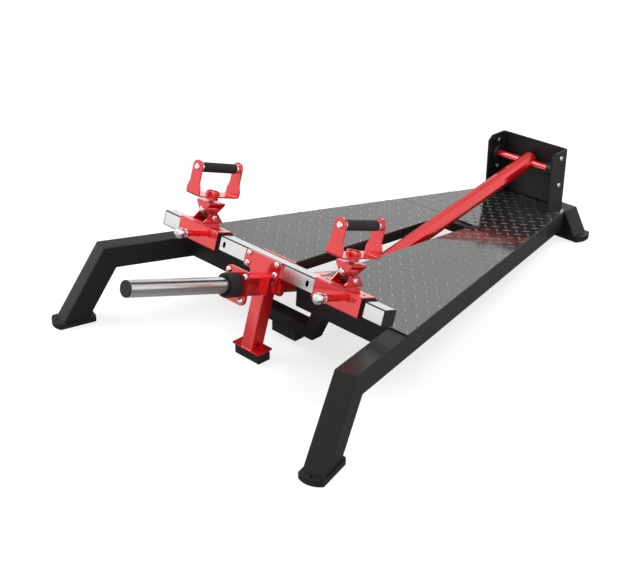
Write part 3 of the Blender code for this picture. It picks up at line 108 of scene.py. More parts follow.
def node(tree, kind, settings=None, inputs=None, output=0):
    """One shader node: its settings first, then the values or wires of its sockets."""
    made = tree.nodes.new("ShaderNode" + kind)
    for key, value in (settings or {}).items():
        setattr(made, key, value)
    for key, value in (inputs or {}).items():
        plug(tree, made.inputs[key], value)
    return Wire(tree, made.outputs[output])


def mix(tree, factor, first, second):
    """Blend two colours."""
    pair = [(*tint, 1) if isinstance(tint, tuple) else tint for tint in (first, second)]
    return node(tree, "Mix", {"data_type": "RGBA"}, {0: factor, 6: pair[0], 7: pair[1]}, 2)


def ramp(tree, value, start, end, at_start, at_end):
    """A number that goes smoothly from one level to another while a value rises."""
    return node(tree, "MapRange", {"interpolation_type": "SMOOTHSTEP"},
                {0: value, 1: start, 2: end, 3: at_start, 4: at_end})


def here(tree, coordinates="Object"):
    """The place of the point that is shaded."""
    return Wire(tree, node(tree, "TexCoord").socket.node.outputs[coordinates])


world = bpy.data.worlds.new("white_room")
bpy.context.scene.world = world
world.use_nodes = True
ROOM_LEVEL = 0.60
HORIZON_LEVEL, MIDDLE_LEVEL, CEILING_LEVEL = 1.0, 0.67, 0.95
HORIZON_TO_MIDDLE, MIDDLE_TO_CEILING = (0.08, 0.32), (0.40, 0.75)
GLOW_CORE = 0.4
# Soft brighter and darker parts of the room: towards where, how wide in degrees, how much.
GLOWS = (((-0.34, 0.90, 0.27), 13.0, 1.3), ((0.10, 0.91, 0.40), 17.0, -0.60),
         ((-0.86, 0.45, 0.24), 17.0, -0.5), ((-0.64, 0.0, 0.77), 32.0, -0.7),
         ((-0.10, 0.70, 0.70), 24.0, -0.6), ((0.62, 0.70, 0.35), 22.0, 0.25))
tree = world.node_tree
rays = node(tree, "LightPath").socket.node.outputs
mirrored = node(tree, "Math", {"operation": "MAXIMUM"},
                {0: Wire(tree, rays["Is Glossy Ray"]), 1: Wire(tree, rays["Is Transmission Ray"])})
skyward = here(tree, "Generated")
height = node(tree, "SeparateXYZ", {}, {0: skyward}, 2)
ceiling = ramp(tree, height, *HORIZON_TO_MIDDLE, HORIZON_LEVEL, MIDDLE_LEVEL)
ceiling += ramp(tree, height, *MIDDLE_TO_CEILING, 0.0, CEILING_LEVEL - MIDDLE_LEVEL)
for spot, reach, change in GLOWS:
    facing = node(tree, "VectorMath", {"operation": "DOT_PRODUCT"},
                  {0: skyward, 1: Vector(spot).normalized()}, 1)
    ceiling += ramp(tree, facing, math.cos(math.radians(reach)),
                    math.cos(math.radians(reach * GLOW_CORE)), 0.0, change)
shown = tree.nodes["Background"]
shown.inputs["Color"].default_value = (1, 1, 1, 1)
plug(tree, shown.inputs["Strength"], ROOM_LEVEL + mirrored * (ceiling - ROOM_LEVEL)
     + Wire(tree, rays["Is Camera Ray"]) * (1.0 - ROOM_LEVEL))

FLOOR_SIZE = 60
UNSEEN, MIRRORED, SEEN = (0.55, 0.55, 0.55), (0.36, 0.36, 0.36), (0.40, 0.40, 0.40)
OWN_WHITE, FAR_WHITE, FAR_LEVEL = 0.72, 0.4, 0.75
FAR_FROM, FAR_TO = 1.8, 4.5
bpy.ops.mesh.primitive_plane_add(size=FLOOR_SIZE)
floor = bpy.context.object
floor.name = "floor"
pale = bpy.data.materials.new("pale_floor")
pale.use_nodes = True
tree = pale.node_tree
shader = tree.nodes["Principled BSDF"]
shader.inputs["Roughness"].default_value = 0.9
shader.inputs["Specular IOR Level"].default_value = 0.0
shader.inputs["Emission Strength"].default_value = 1.0
rays = node(tree, "LightPath").socket.node.outputs
mirrored = Wire(tree, rays["Is Glossy Ray"])
seen = Wire(tree, rays["Is Camera Ray"])
plug(tree, shader.inputs["Base Color"],
     mix(tree, seen, mix(tree, mirrored, UNSEEN, MIRRORED), SEEN))
# Seen by the camera the floor is white but for its shadow; in metal it is white far off.
away = node(tree, "VectorMath", {"operation": "LENGTH"}, {0: here(tree)}, 1)
far_off = ramp(tree, away, FAR_FROM, FAR_TO, 0.0, FAR_LEVEL)
lit = seen * (far_off * FAR_WHITE + OWN_WHITE) + mirrored * far_off
plug(tree, shader.inputs["Emission Color"], mix(tree, lit, (0.0, 0.0, 0.0), (1.0, 1.0, 1.0)))
floor.data.materials.append(pale)


# The welded frame: rectangular steel tube and plate under black powder coat, satin, with
# a faint orange peel. Each piece is the solid of the frame with its edges rounded.
nodes = frame["nodes"]


def finish(name, roughness, metallic=0.0, **constants):
    """A material with its plain sockets set; returns its tree and shader."""
    material = bpy.data.materials.new(name)
    material.use_nodes = True
    shader = material.node_tree.nodes["Principled BSDF"]
    shader.inputs["Roughness"].default_value = roughness
    shader.inputs["Metallic"].default_value = metallic
    for socket, value in constants.items():
        shader.inputs[socket.replace("_", " ")].default_value = value
    return material, material.node_tree, shader


def speckle(tree, scale, detail=2.0, stretch=(1, 1, 1)):
    """Noise on object coordinates, metres, near 0 to 1."""
    spread = node(tree, "Mapping", {}, {"Vector": here(tree), "Scale": stretch})
    return node(tree, "TexNoise", {}, {"Vector": spread, "Scale": scale, "Detail": detail})


def relief(tree, shader, height, distance, strength=1.0):
    """Fine unevenness of a surface, its depth in metres."""
    bump = node(tree, "Bump", {}, {"Height": height, "Distance": distance, "Strength": strength})
    plug(tree, shader.inputs["Normal"], bump)


def black_coat():
    """Satin black powder coat."""
    material, tree, shader = finish("black_powder_coat", 0.42, Specular_IOR_Level=0.30)
    cloud = speckle(tree, 3.0)
    tint = mix(tree, cloud, (0.0095, 0.0095, 0.0098), (0.0140, 0.0140, 0.0144))
    plug(tree, shader.inputs["Base Color"], tint)
    plug(tree, shader.inputs["Roughness"], speckle(tree, 12.0) * 0.10 + 0.36)
    relief(tree, shader, speckle(tree, 700.0, 1.0), 0.00006, 0.5)
    return material


BLACK = black_coat()


def only(piece):
    """Select one piece and make it the active one."""
    bpy.ops.object.select_all(action="DESELECT")
    piece.select_set(True)
    bpy.context.view_layer.objects.active = piece


SHARP = math.radians(28)


def ease_edges(piece, width, segments=2, coat=-1):
    """Round the edges of a piece and shade its faces smooth up to them."""
    only(piece)
    bevel = piece.modifiers.new("edges", "BEVEL")
    bevel.width = width
    bevel.segments = segments
    bevel.limit_method = "ANGLE"
    bevel.angle_limit = SHARP
    bevel.material = coat
    bpy.ops.object.modifier_apply(modifier="edges")
    bpy.ops.object.shade_smooth_by_angle(angle=SHARP)
    piece.modifiers.new("flats", "WEIGHTED_NORMAL").keep_sharp = True
    bpy.ops.object.modifier_apply(modifier="flats")


def carve(piece, *tools):
    """Cut the shapes of the tools out of a piece and take the tools away."""
    only(piece)
    for tool in tools:
        step = piece.modifiers.new("cut", "BOOLEAN")
        step.operation = "DIFFERENCE"
        step.solver = "EXACT"
        step.object = tool
        bpy.ops.object.modifier_apply(modifier="cut")
        bpy.data.objects.remove(tool, do_unlink=True)


SAME_PLACE = 0.00001
FLAT = math.radians(0.5)


def dress(name, body, material, slot, width, segments=2, tools=(), edge=None):
    """A copy of a node's solid, merged, cut, its edges rounded, that stands for the node.

    The rounded edges can have a material of their own, such as a darker one that paints shade or a
    dark reflection along them."""
    piece = bpy.data.objects.new(name + "_finished", nodes[name].data.copy())
    bpy.context.scene.collection.objects.link(piece)
    only(piece)
    bpy.ops.object.mode_set(mode="EDIT")
    bpy.ops.mesh.select_all(action="SELECT")
    bpy.ops.mesh.remove_doubles(threshold=SAME_PLACE)
    bpy.ops.mesh.dissolve_limited(angle_limit=FLAT)
    bpy.ops.object.mode_set(mode="OBJECT")
    carve(piece, *tools)
    piece.data.materials.clear()
    for coat in (material, edge) if edge else (material,):
        piece.data.materials.append(coat)
    ease_edges(piece, width, segments, 1 if edge else -1)
    return settle(piece, body, material, slot, name)


def settle(piece, body, material, slot, *stands_for):
    """Give a finished piece its material and its body, and hide the nodes it stands for."""
    if list(piece.data.materials)[:1] != [material]:
        piece.data.materials.clear()
        piece.data.materials.append(material)
    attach(piece, body)
    if stands_for:
        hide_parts(*stands_for)
    return piece


TUBE_EDGE, BRACKET_EDGE = 0.0012, 0.0010
for name in ("left_side_rail", "right_side_rail", "front_cross_member", "left_slot_rail",
             "right_slot_rail", "seam_cross_tube", "rear_cross_tube"):
    dress(name, "frame", BLACK, "painted_steel_black", TUBE_EDGE)
dress("pivot_bracket", "frame", BLACK, "painted_steel_black", BRACKET_EDGE)


# Two flange bearings in black cast iron carry the shaft inside the bracket. Each has two
# zinc plated coach bolts: a smooth domed head outside, a hexagon nut inside.
X, Y, Z = Vector((1, 0, 0)), Vector((0, 1, 0)), Vector((0, 0, 1))
joints = {joint["name"]: joint for joint in frame["joints"]}


def bright(name, tint, rough, wear, grain=None):
    """Bare or plated metal, its tint and its polish a little uneven."""
    material, tree, shader = finish(name, rough, 1.0)
    plug(tree, shader.inputs["Base Color"],
         mix(tree, speckle(tree, 6.0), tint, tuple(part * 0.92 for part in tint)))
    plug(tree, shader.inputs["Roughness"], speckle(tree, 90.0, 3.0) * wear + (rough - wear / 2))
    if grain:
        relief(tree, shader, speckle(tree, 500.0, 3.0, grain), 0.00003, 0.5)
    return material


ZINC = bright("zinc", (0.80, 0.80, 0.81), 0.10, 0.06)
BEARING_REACH = 0.0525
BEARING_GRIP = 0.0136
BEARING_HEAD = (0.009, 0.006)
BEARING_SHANK = 0.005
BEARING_EDGE = 0.0006
DOME = 0.86
NUT_WIDE, NUT_TALL = 1.04, 0.85
TURNED = math.radians(32)


def stock(sides, radius, low, high):
    """A round or many-sided bar that stands on the Z axis, cut to length."""
    bpy.ops.object.select_all(action="DESELECT")
    bpy.ops.mesh.primitive_cylinder_add(vertices=sides, radius=radius, depth=high - low,
                                        location=(0, 0, (low + high) / 2))
    bpy.ops.object.transform_apply(location=True, rotation=True, scale=True)
    return bpy.context.object


def choose_edges(piece, test):
    """Open a piece in edit mode with the edges selected whose middle passes a test."""
    only(piece)
    bpy.ops.object.mode_set(mode="EDIT")
    bpy.ops.mesh.select_mode(type="EDGE")
    bpy.ops.mesh.select_all(action="DESELECT")
    bpy.ops.object.mode_set(mode="OBJECT")
    points = piece.data.vertices
    for edge in piece.data.edges:
        first, last = edge.vertices
        edge.select = test((points[first].co + points[last].co) / 2)
    bpy.ops.object.mode_set(mode="EDIT")


def round_off(piece, height, width, segments):
    """Round the rim of a piece at one height."""
    choose_edges(piece, lambda spot: abs(spot.z - height) < SAME_PLACE)
    bpy.ops.mesh.bevel(offset=width, segments=segments, profile=0.5, affect="EDGES")
    bpy.ops.object.mode_set(mode="OBJECT")


def fuse(*parts):
    """Join the parts of one piece into the first of them."""
    bpy.ops.object.select_all(action="DESELECT")
    for part in parts:
        part.select_set(True)
    bpy.context.view_layer.objects.active = parts[0]
    bpy.ops.object.join()
    return parts[0]


def domed_head(radius, tall):
    """A smooth domed head that sits on Z = 0."""
    head = stock(36, radius, 0, tall)
    round_off(head, tall, tall * DOME, 8)
    return head


def coach_bolt(head_size, shank, grip):
    """A whole bolt: its head sits on Z = 0, its nut on the far side of the grip."""
    radius, tall = head_size
    nut = stock(6, radius * NUT_WIDE, -grip - tall * NUT_TALL, -grip)
    round_off(nut, -grip - tall * NUT_TALL, radius * 0.12, 2)
    pin = stock(16, shank, -grip - tall, tall * 0.2)
    round_off(pin, -grip - tall, shank * 0.2, 2)
    bolt = fuse(domed_head(radius, tall), nut, pin)
    bpy.ops.object.shade_smooth_by_angle(angle=TURNED)
    return bolt


def stand(piece, spot, outward):
    """Turn the Z axis of a mesh outward and move the mesh to a spot."""
    turn = Z.rotation_difference(outward).to_matrix().to_4x4()
    piece.data.transform(Matrix.Translation(spot) @ turn)
    return piece


def set_in(model, name, spot, outward):
    """A copy of a model, with its own mesh, that stands on a spot."""
    piece = bpy.data.objects.new(name, model.data.copy())
    bpy.context.scene.collection.objects.link(piece)
    return stand(piece, spot, outward)


def put_away(*models):
    """Take the models away when all their copies are made."""
    for model in models:
        bpy.data.objects.remove(model, do_unlink=True)


def span(name, along):
    """How far a node reaches along a direction, lowest and highest, in metres."""
    reach = [along.dot(corner.co) for corner in nodes[name].data.vertices]
    return min(reach), max(reach)


def cutter(spot, outward, radius, low, high):
    """A round cutter that stands on a spot, for dress."""
    return stand(stock(32, radius, low, high), spot, outward)


# Where a solid carries its own plain head and nut, cutters take them off down to the seat.
SEAT_RADIUS, SEAT_GAP, SEAT_CUT, NUT_CUT = 0.0112, 0.0002, 0.02, 0.03
pivot = Vector(joints["arm_lift"]["pos_m"])
model = coach_bolt(BEARING_HEAD, BEARING_SHANK, BEARING_GRIP)
for side, outward in (("left", -X), ("right", X)):
    bearing = side + "_flange_bearing"
    seat = span(bearing, outward)[1] - BEARING_HEAD[1]
    tools = []
    for number, rise in ((1, BEARING_REACH), (2, -BEARING_REACH)):
        spot = outward * seat + Z * (pivot.z + rise) + Y * pivot.y
        tools += [cutter(spot, outward, SEAT_RADIUS, SEAT_GAP, SEAT_CUT),
                  cutter(spot, outward, SEAT_RADIUS, -NUT_CUT, -BEARING_GRIP - SEAT_GAP)]
        settle(set_in(model, f"{side}_bearing_bolt_{number}", spot, outward), "frame", ZINC,
               "zinc_steel")
    dress(bearing, "frame", BLACK, "painted_steel_black", BEARING_EDGE, tools=tools)
put_away(model)


# The four feet and the block under the drop: moulded black rubber with a dull, fine grain,
# each held under its steel plate or beam.
def moulded(name, dark, light, rough, grain):
    """Rubber or plastic as it comes from the mould."""
    material, tree, shader = finish(name, rough, Specular_IOR_Level=0.35)
    plug(tree, shader.inputs["Base Color"], mix(tree, speckle(tree, 40.0), dark, light))
    relief(tree, shader, speckle(tree, grain, 3.0), 0.0002, 0.6)
    return material


RUBBER = moulded("black_rubber", (0.012, 0.012, 0.012), (0.022, 0.022, 0.022), 0.72, 900.0)
PLASTIC = moulded("black_plastic", (0.012, 0.012, 0.013), (0.018, 0.018, 0.019), 0.42, 1600.0)
PAD_EDGE, BLOCK_EDGE = 0.0015, 0.002
for name in ("left_front_foot_pad", "right_front_foot_pad", "left_rear_foot_pad",
             "right_rear_foot_pad"):
    dress(name, "frame", RUBBER, "rubber_black", PAD_EDGE)
dress("centre_foot_block", "frame", RUBBER, "rubber_black", BLOCK_EDGE, 3)


# The deck: three sheets of rolled tread plate, cut to the frame, with raised lugs that
# turn left and right by turns. The lugs are cut off at the edges as in the sheet.
DECK_PITCH = math.radians(5.05)
RAIL_TOE = math.radians(15.0)
LUG_LONG, LUG_WIDE, LUG_TALL = 0.0155, 0.0048, 0.0013
LUG_CUT = 0.8
LUG_LEAN = math.radians(45)
LUG_ROUND = math.radians(50)
LUG_PITCH_X, LUG_PITCH_Y = 0.049, 0.0515
EDGE_MARGIN = 0.0012
SHEET_EDGE = 0.0011
down_deck = Vector((0, math.cos(DECK_PITCH), -math.sin(DECK_PITCH)))
off_deck = Vector((0, math.sin(DECK_PITCH), math.cos(DECK_PITCH)))


def tread_metal(name, shade, rough, metallic):
    """Rolled steel, bare and a little dull."""
    material, tree, shader = finish(name, rough, metallic)
    tint = mix(tree, speckle(tree, 5.0), (shade, shade, shade * 0.99),
               (shade * 1.14, shade * 1.14, shade * 1.13))
    plug(tree, shader.inputs["Base Color"], tint)
    plug(tree, shader.inputs["Roughness"], speckle(tree, 60.0, 4.0) * 0.10 + (rough - 0.04))
    relief(tree, shader, speckle(tree, 260.0, 3.0), 0.00005, 0.3)
    return material


TREAD = tread_metal("tread_plate", 0.250, 0.09, 0.92)
# The lugs' grey is a little lighter than the sheet's, a painted highlight that makes them read
# brighter.
LUGS = tread_metal("tread_lugs", 0.270, 0.32, 0.88)
# The near-black steel on the sheets' rounded edges is painted shade, a dark line along each edge.
EDGE_SHADE_STEEL = tread_metal("tread_painted_edge_shade", 0.040, 0.50, 0.30)


def lug_rows(count_x, count_y, first, turn):
    """One sheet-wide field of lugs that all lean the same way, in deck coordinates.

    A lug is the cap of a ball, pulled long and narrow."""
    bpy.ops.object.select_all(action="DESELECT")
    bpy.ops.mesh.primitive_uv_sphere_add(segments=14, ring_count=16, radius=1.0)
    lugs = bpy.context.object
    bpy.ops.object.mode_set(mode="EDIT")
    bpy.ops.mesh.bisect(plane_co=(0, 0, LUG_CUT), plane_no=(0, 0, 1), clear_inner=True,
                        use_fill=True)
    bpy.ops.object.mode_set(mode="OBJECT")
    rim = math.sqrt(1 - LUG_CUT ** 2)
    lugs.data.transform(Matrix.Translation(first) @ Matrix.Rotation(turn, 4, "Z")
                        @ Matrix.Diagonal((LUG_LONG / rim, LUG_WIDE / rim,
                                           LUG_TALL / (1 - LUG_CUT), 1))
                        @ Matrix.Translation((0, 0, -LUG_CUT)))
    for count, step in ((count_x, (LUG_PITCH_X, 0, 0)), (count_y, (0, LUG_PITCH_Y, 0))):
        row = lugs.modifiers.new("row", "ARRAY")
        row.count = count
        row.use_relative_offset = False
        row.use_constant_offset = True
        row.constant_offset_displace = step
        bpy.ops.object.modifier_apply(modifier="row")
    return lugs


def tread(plate, first, borders):
    """Both fields of lugs on one plate, cut off at its borders (outward directions)."""
    low_y, high_y = span(plate, down_deck)
    low_x, high_x = span(plate, X)
    columns = int((high_x - low_x) / LUG_PITCH_X) + 2
    rows = int((high_y - low_y) / LUG_PITCH_Y) + 2
    start_x = first[0] - LUG_PITCH_X * math.ceil((first[0] - low_x) / LUG_PITCH_X)
    start_y = first[1] - LUG_PITCH_Y * math.ceil((first[1] - low_y) / LUG_PITCH_Y)
    shift = Vector((LUG_PITCH_X / 2, LUG_PITCH_Y / 2, 0))
    start = Vector((start_x, start_y, span(plate, off_deck)[1]))
    lugs = fuse(lug_rows(columns, rows, start, -LUG_LEAN),
                lug_rows(columns, rows, start - shift, LUG_LEAN))
    lugs.name = plate + "_lugs"
    lugs.data.transform(Matrix.Rotation(-DECK_PITCH, 4, "X"))
    bpy.ops.object.mode_set(mode="EDIT")
    for outward in borders:
        bpy.ops.mesh.select_all(action="SELECT")
        edge = outward * (span(plate, outward)[1] - EDGE_MARGIN)
        bpy.ops.mesh.bisect(plane_co=edge, plane_no=outward, clear_outer=True, use_fill=True)
    bpy.ops.object.mode_set(mode="OBJECT")
    bpy.ops.object.shade_smooth_by_angle(angle=LUG_ROUND)
    return settle(lugs, "frame", LUGS, "tread_plate")


right_edge = X * math.cos(RAIL_TOE) + down_deck * math.sin(RAIL_TOE)
left_edge = -X * math.cos(RAIL_TOE) + down_deck * math.sin(RAIL_TOE)
# The middle of one lug of each sheet, and the sheet's four borders.
SHEETS = {"right_deck_plate": ((0.103, -0.2353), (-X, right_edge, down_deck, -down_deck)),
          "left_deck_plate": ((-0.074, -0.2403), (X, left_edge, down_deck, -down_deck)),
          "rear_deck_plate": ((0.046, 0.4977), (left_edge, right_edge, down_deck, -down_deck))}
for name, (first, borders) in SHEETS.items():
    dress(name, "frame", TREAD, "tread_plate", SHEET_EDGE, edge=EDGE_SHADE_STEEL)
    tread(name, first, borders)


# The arm and all that is welded or clamped to it, under gloss red enamel over a metallic
# ground, so it is deep red in the hollows and bright where it meets the light.
def red_enamel(name, depth, gloss):
    """Red enamel, full, or darker and duller for rounded edges, where the dark red is painted
    shade that outlines them.
    """
    material, tree, shader = finish(name, 0.20, 0.50, Coat_Roughness=0.03, Coat_IOR=1.7,
                                    Specular_IOR_Level=0.5 * gloss)
    cloud = speckle(tree, 4.0)
    tint = mix(tree, cloud, (0.82 * depth, 0.009, 0.013), (0.90 * depth, 0.012, 0.017))
    plug(tree, shader.inputs["Base Color"], tint)
    plug(tree, shader.inputs["Coat Weight"], (speckle(tree, 8.0) * 0.2 + 0.8) * gloss)
    relief(tree, shader, speckle(tree, 420.0, 1.0), 0.00005, 0.3)
    return material


RED = red_enamel("red_enamel", 1.0, 1.0)
# The darker, duller red on the rounded edges of the red parts is painted shade: a dark outline
# along each edge.
EDGE_SHADE_RED = red_enamel("red_enamel_painted_edge_shade", 0.28, 0.2)
SHAFT_EDGE, PLATE_EDGE = 0.0008, 0.0010
dress("arm_tube", "arm", RED, "painted_steel_red", TUBE_EDGE)
dress("pivot_shaft", "arm", RED, "painted_steel_red", SHAFT_EDGE)
for name in ("front_clamp_plate", "rear_clamp_plate", "post", "sleeve_box", "sleeve_flange"):
    dress(name, "arm", RED, "painted_steel_red", PLATE_EDGE, edge=EDGE_SHADE_RED)


# The crossbar is square steel tube with satin chrome, closed by black plastic caps. It is
# held between the two clamp plates by four bolts; a fifth, painted over, is in the post.
SATIN = bright("satin_chrome", (0.86, 0.86, 0.86), 0.24, 0.05)
# The dark chrome on the tube's rounded corners is a painted reflection, a dark line along each
# corner.
CORNER_REFLECTION_PAINT = bright("chrome_painted_corner_reflection", (0.10, 0.10, 0.10), 0.40, 0.05)
CAP_EDGE = 0.0006
CORNER_FROM, CORNER_TO = 0.2, 0.98
HEAD = (0.0095, 0.0075)
SHANK = 0.004
tube = dress("crossbar", "arm", SATIN, "chrome", TUBE_EDGE, 3, edge=CORNER_REFLECTION_PAINT)
for name in ("left_bar_cap", "right_bar_cap"):
    dress(name, "arm", PLASTIC, "plastic_black", CAP_EDGE)
to_rear = Vector(joints["left_gimbal_tilt"]["axis"])
if to_rear.y < 0:
    to_rear = -to_rear
# The tube's rounded corners get the dark chrome, a painted reflection line: the faces that look
# neither to front or rear nor up or down.
for face in tube.data.polygons:
    if CORNER_FROM < abs(face.normal.dot(to_rear)) < CORNER_TO:
        face.material_index = 1


def middle_of(name, *axes):
    """The middle of a node along some directions."""
    return sum((axis * sum(span(name, axis)) / 2 for axis in axes), Vector())


def bolt_for(name, outward, model, material, slot):
    """Put a bolt where its node is, with its head at the outward end."""
    across = outward.cross(Z).normalized()
    spot = outward * (span(name, outward)[1] - HEAD[1])
    spot += middle_of(name, across, across.cross(outward))
    settle(set_in(model, name + "_finished", spot, outward), "arm", material, slot, name)


for names, outward, *coat in (
        ([f"clamp_bolt_{number}" for number in range(1, 5)], -to_rear, ZINC, "zinc_steel"),
        ([f"flange_bolt_{number}" for number in range(1, 5)], -to_rear, ZINC, "zinc_steel"),
        (["post_bolt"], X, RED, "painted_steel_red")):
    low, high = span(names[0], outward)
    model = coach_bolt(HEAD, SHANK, high - low - 2 * HEAD[1])
    for name in names:
        bolt_for(name, outward, model, *coat)
    put_away(model)


# The weight sleeve is ground steel tube, satin, with a plastic plug in its end and a thick
# rubber collar at its root. The post under the clamp stands on a rubber pad.
SLEEVE = bright("ground_steel", (0.70, 0.69, 0.69), 0.24, 0.04, (1.0, 0.04, 1.0))
COLLAR_EDGE = 0.0012
dress("weight_sleeve", "arm", SLEEVE, "chrome", SHAFT_EDGE, 3)
dress("sleeve_end_cap", "arm", PLASTIC, "plastic_black", CAP_EDGE)
for name in ("post_pad", "sleeve_collar"):
    dress(name, "arm", RUBBER, "rubber_black", COLLAR_EDGE)


# Each slider is square red tube on a plastic liner that runs on the crossbar, with two grub
# screws in its top and a chromed pull pin with a ball and a fluted grip in its front.
CHROME = bright("chrome", (0.88, 0.88, 0.88), 0.06, 0.04)
PIN_BALL = 0.018
PIN_GRIP = (0.0138, -0.0230, -0.0105)
PIN_STEM, PIN_WASHER = 0.005, 0.0012
FLUTE_DEPTH = 0.86
FLUTE_ROUND = math.radians(25)
SCREW_REACH = 0.0725
SCREW = (0.0050, -0.004, 0.0004)
SCREW_SOCKET = (0.0028, -0.003, 0.001)
LINER_EDGE = 0.0005


def pull_pin(nose):
    """The pull pin along Z, its ball's centre at the origin and its nose at the far end."""
    bpy.ops.object.select_all(action="DESELECT")
    bpy.ops.mesh.primitive_uv_sphere_add(segments=40, ring_count=24, radius=PIN_BALL)
    ball = bpy.context.object
    radius, low, high = PIN_GRIP
    flutes = stock(32, radius, low, high)
    choose_edges(flutes, lambda spot: abs(spot.z - (low + high) / 2) < 0.001
                 and round(math.atan2(spot.x, spot.y) * 16 / math.pi) % 4 < 2)
    bpy.ops.transform.resize(value=(FLUTE_DEPTH, FLUTE_DEPTH, 1.0))
    bpy.ops.object.mode_set(mode="OBJECT")
    washer = stock(32, radius * 1.03, low - PIN_WASHER, low)
    round_off(washer, low - PIN_WASHER, 0.0005, 2)
    stem = stock(20, PIN_STEM, nose, low)
    round_off(stem, nose, 0.001, 2)
    pin = fuse(ball, flutes, washer, stem)
    bpy.ops.object.shade_smooth_by_angle(angle=FLUTE_ROUND)
    return pin


NYLON, tree, shader = finish("black_nylon", 0.55, Specular_IOR_Level=0.15)
plug(tree, shader.inputs["Base Color"],
     mix(tree, speckle(tree, 40.0), (0.004, 0.004, 0.004), (0.008, 0.008, 0.008)))
off_bar = to_rear.cross(-X)
low, high = span("left_pop_pin", -to_rear)
pin_model = pull_pin(low - high + PIN_BALL)
screw = stock(24, *SCREW)
round_off(screw, SCREW[2], 0.0005, 2)
carve(screw, stock(6, *SCREW_SOCKET))
bpy.ops.object.shade_smooth_by_angle(angle=TURNED)
for side in ("left", "right"):
    slider = side + "_slider"
    dress(slider, slider, RED, "painted_steel_red", PLATE_EDGE, edge=EDGE_SHADE_RED)
    dress(slider + "_liner", slider, NYLON, "plastic_black", LINER_EDGE)
    pin = side + "_pop_pin"
    ball = middle_of(pin, X, off_bar) - to_rear * (span(pin, -to_rear)[1] - PIN_BALL)
    settle(set_in(pin_model, pin + "_finished", ball, -to_rear), side + "_pin", CHROME,
           "chrome", pin)
    top = middle_of("crossbar", to_rear) + off_bar * span(slider, off_bar)[1]
    for number, reach in ((1, -SCREW_REACH), (2, SCREW_REACH)):
        spot = middle_of(pin, X) + X * reach + top
        settle(set_in(screw, f"{side}_grub_screw_{number}", spot, off_bar), slider, BLACK,
               "painted_steel_black")
put_away(pin_model, screw)


# The swivel under each handle: two folded yokes at right angles and a cross block between
# them, red enamel, turning on two zinc plated pins with domed heads. The lower pin has a
# ribbed bush and a nut between the ears of its yoke.
GIMBAL_HEAD = (0.0095, 0.006)
BUSH = (0.0151, -0.0205, 0.0150)
BUSH_NUT = (0.0160, 0.0153, 0.0202)
BUSH_EDGE, NUT_EDGE, YOKE_EDGE = 0.0006, 0.0005, 0.0008
RIBS = 2600.0


def ribbed_shaded_bush():
    """The bush on the lower pin: a dark red-brown that is painted shade between the ears, turned
    with fine ribs along its length.
    """
    material, tree, shader = finish("bush_painted_shade", 0.38, 0.6)
    plug(tree, shader.inputs["Base Color"],
         mix(tree, speckle(tree, 300.0, 3.0), (0.060, 0.010, 0.009), (0.150, 0.028, 0.024)))
    along = node(tree, "SeparateXYZ", {}, {0: here(tree)})
    relief(tree, shader, node(tree, "Math", {"operation": "SINE"}, {0: along * RIBS}), 0.0004, 0.8)
    return material


BUSH_SHADE = ribbed_shaded_bush()
pin_head = domed_head(*GIMBAL_HEAD)
bpy.ops.object.shade_smooth_by_angle(angle=TURNED)
bush = stock(40, *BUSH)
ease_edges(bush, BUSH_EDGE)
bush_nut = stock(6, *BUSH_NUT)
ease_edges(bush_nut, NUT_EDGE)
for side in ("left", "right"):
    block = side + "_cross_block"
    tools = []
    for joint, axis in (("rock", X), ("tilt", to_rear)):
        middle = Vector(joints[f"{side}_gimbal_{joint}"]["pos_m"])
        for end, outward in (("a", axis), ("b", -axis)):
            seat = span(block, outward)[1] - GIMBAL_HEAD[1]
            spot = middle + outward * (seat - outward.dot(middle))
            tools.append(cutter(spot, outward, SEAT_RADIUS, SEAT_GAP / 2, SEAT_CUT))
            settle(set_in(pin_head, f"{side}_{joint}_pin_head_{end}", spot, outward),
                   side + "_cross", ZINC, "zinc_steel")
    dress(block, side + "_cross", RED, "painted_steel_red", YOKE_EDGE, tools=tools, edge=EDGE_SHADE_RED)
    dress(side + "_lower_yoke", side + "_slider", RED, "painted_steel_red", YOKE_EDGE,
          edge=EDGE_SHADE_RED)
    middle = Vector(joints[side + "_gimbal_rock"]["pos_m"])
    settle(set_in(bush, side + "_gimbal_bush", middle, X), side + "_cross", BUSH_SHADE,
           "painted_steel_red")
    settle(set_in(bush_nut, side + "_gimbal_nut", middle, X), side + "_cross", ZINC, "zinc_steel")
put_away(pin_head, bush, bush_nut)


# Each handle is a flat strip folded to a D, red enamel, with a round cup welded into its
# base. The stud of the upper yoke comes up in the cup and carries a low nut.
CUP_OUTER, CUP_INNER, CUP_LOW, CUP_HIGH = 0.0225, 0.0190, -0.0012, 0.0085
NUT_RADIUS, NUT_LOW, NUT_HIGH = 0.0125, 0.0003, 0.0050
STUD_RADIUS, STUD_PROUD = 0.0075, 0.0015
CLEAR_RADIUS, CLEAR_HIGH = 0.016, 0.05
cup = stock(48, CUP_OUTER, CUP_LOW, CUP_HIGH)
carve(cup, stock(48, CUP_INNER, CUP_LOW - 0.01, CUP_HIGH + 0.01))
ease_edges(cup, YOKE_EDGE)
nut = stock(6, NUT_RADIUS, NUT_LOW, NUT_HIGH)
round_off(nut, NUT_HIGH, 0.0012, 2)
stud = stock(24, STUD_RADIUS, NUT_LOW, NUT_HIGH + STUD_PROUD)
round_off(stud, NUT_HIGH + STUD_PROUD, 0.001, 2)
fuse(nut, stud)
bpy.ops.object.shade_smooth_by_angle(angle=TURNED)
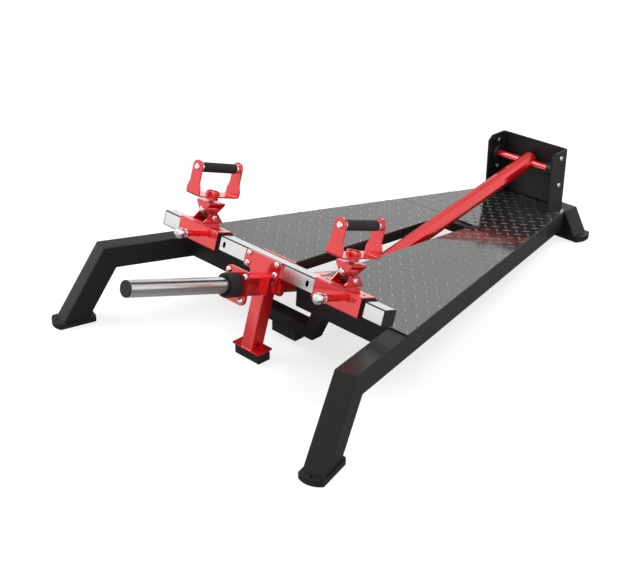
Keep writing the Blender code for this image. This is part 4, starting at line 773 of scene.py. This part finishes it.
for side in ("left", "right"):
    spot = Vector(joints[side + "_handle_swivel"]["pos_m"])
    dress(side + "_handle_frame", side + "_handle", RED, "painted_steel_red", YOKE_EDGE,
          tools=[cutter(spot, off_bar, CUP_OUTER - 0.0010, CUP_LOW, CLEAR_HIGH)], edge=EDGE_SHADE_RED)
    settle(set_in(cup, side + "_swivel_cup", spot, off_bar), side + "_handle", RED,
           "painted_steel_red")
    dress(side + "_upper_yoke", side + "_yoke", RED, "painted_steel_red", YOKE_EDGE,
          tools=[cutter(spot, off_bar, CLEAR_RADIUS, NUT_LOW, CLEAR_HIGH)], edge=EDGE_SHADE_RED)
    settle(set_in(nut, side + "_swivel_nut", spot, off_bar), side + "_yoke", RED,
           "painted_steel_red")
put_away(cup, nut)


# The hand grip: a chromed bar through both ends of the D, with a domed head outside each
# plate and a bright collar inside it, and a black rubber sleeve between the collars.
GRIP_HEAD = (0.0105, 0.006)
GRIP_BAR, GRIP_COLLAR, GRIP_SLEEVE = 0.008, 0.0152, 0.0158
COLLAR_LONG = 0.0125
STRIP_THICK = 0.0052
GRIP_GAP, GRIP_EDGE = 0.0002, 0.0015
low, high = span("left_grip_bar", to_rear)
half = (high - low) / 2 - GRIP_HEAD[1]
inside = half - STRIP_THICK
head = domed_head(*GRIP_HEAD)
collar = stock(40, GRIP_COLLAR, inside - COLLAR_LONG, inside)
round_off(collar, inside - COLLAR_LONG, 0.001, 3)
round_off(collar, inside, 0.001, 3)
ends = [set_in(head, "head", outward * half, outward) for outward in (Z, -Z)]
ends += [set_in(collar, "collar", Vector(), outward) for outward in (Z, -Z)]
rod = fuse(stock(32, GRIP_BAR, -half, half), *ends)
bpy.ops.object.shade_smooth_by_angle(angle=TURNED)
reach = inside - COLLAR_LONG - GRIP_GAP
sleeve = stock(48, GRIP_SLEEVE, -reach, reach)
carve(sleeve, stock(32, GRIP_BAR + GRIP_GAP, -1, 1))
ease_edges(sleeve, GRIP_EDGE, 3)
for side in ("left", "right"):
    bar = side + "_grip_bar"
    middle = middle_of(bar, to_rear, X, off_bar)
    settle(set_in(rod, bar + "_finished", middle, -to_rear), side + "_handle", CHROME, "chrome",
           bar)
    settle(set_in(sleeve, side + "_grip_finished", middle, -to_rear), side + "_handle", RUBBER,
           "rubber_black", side + "_grip")
put_away(head, collar, rod, sleeve)
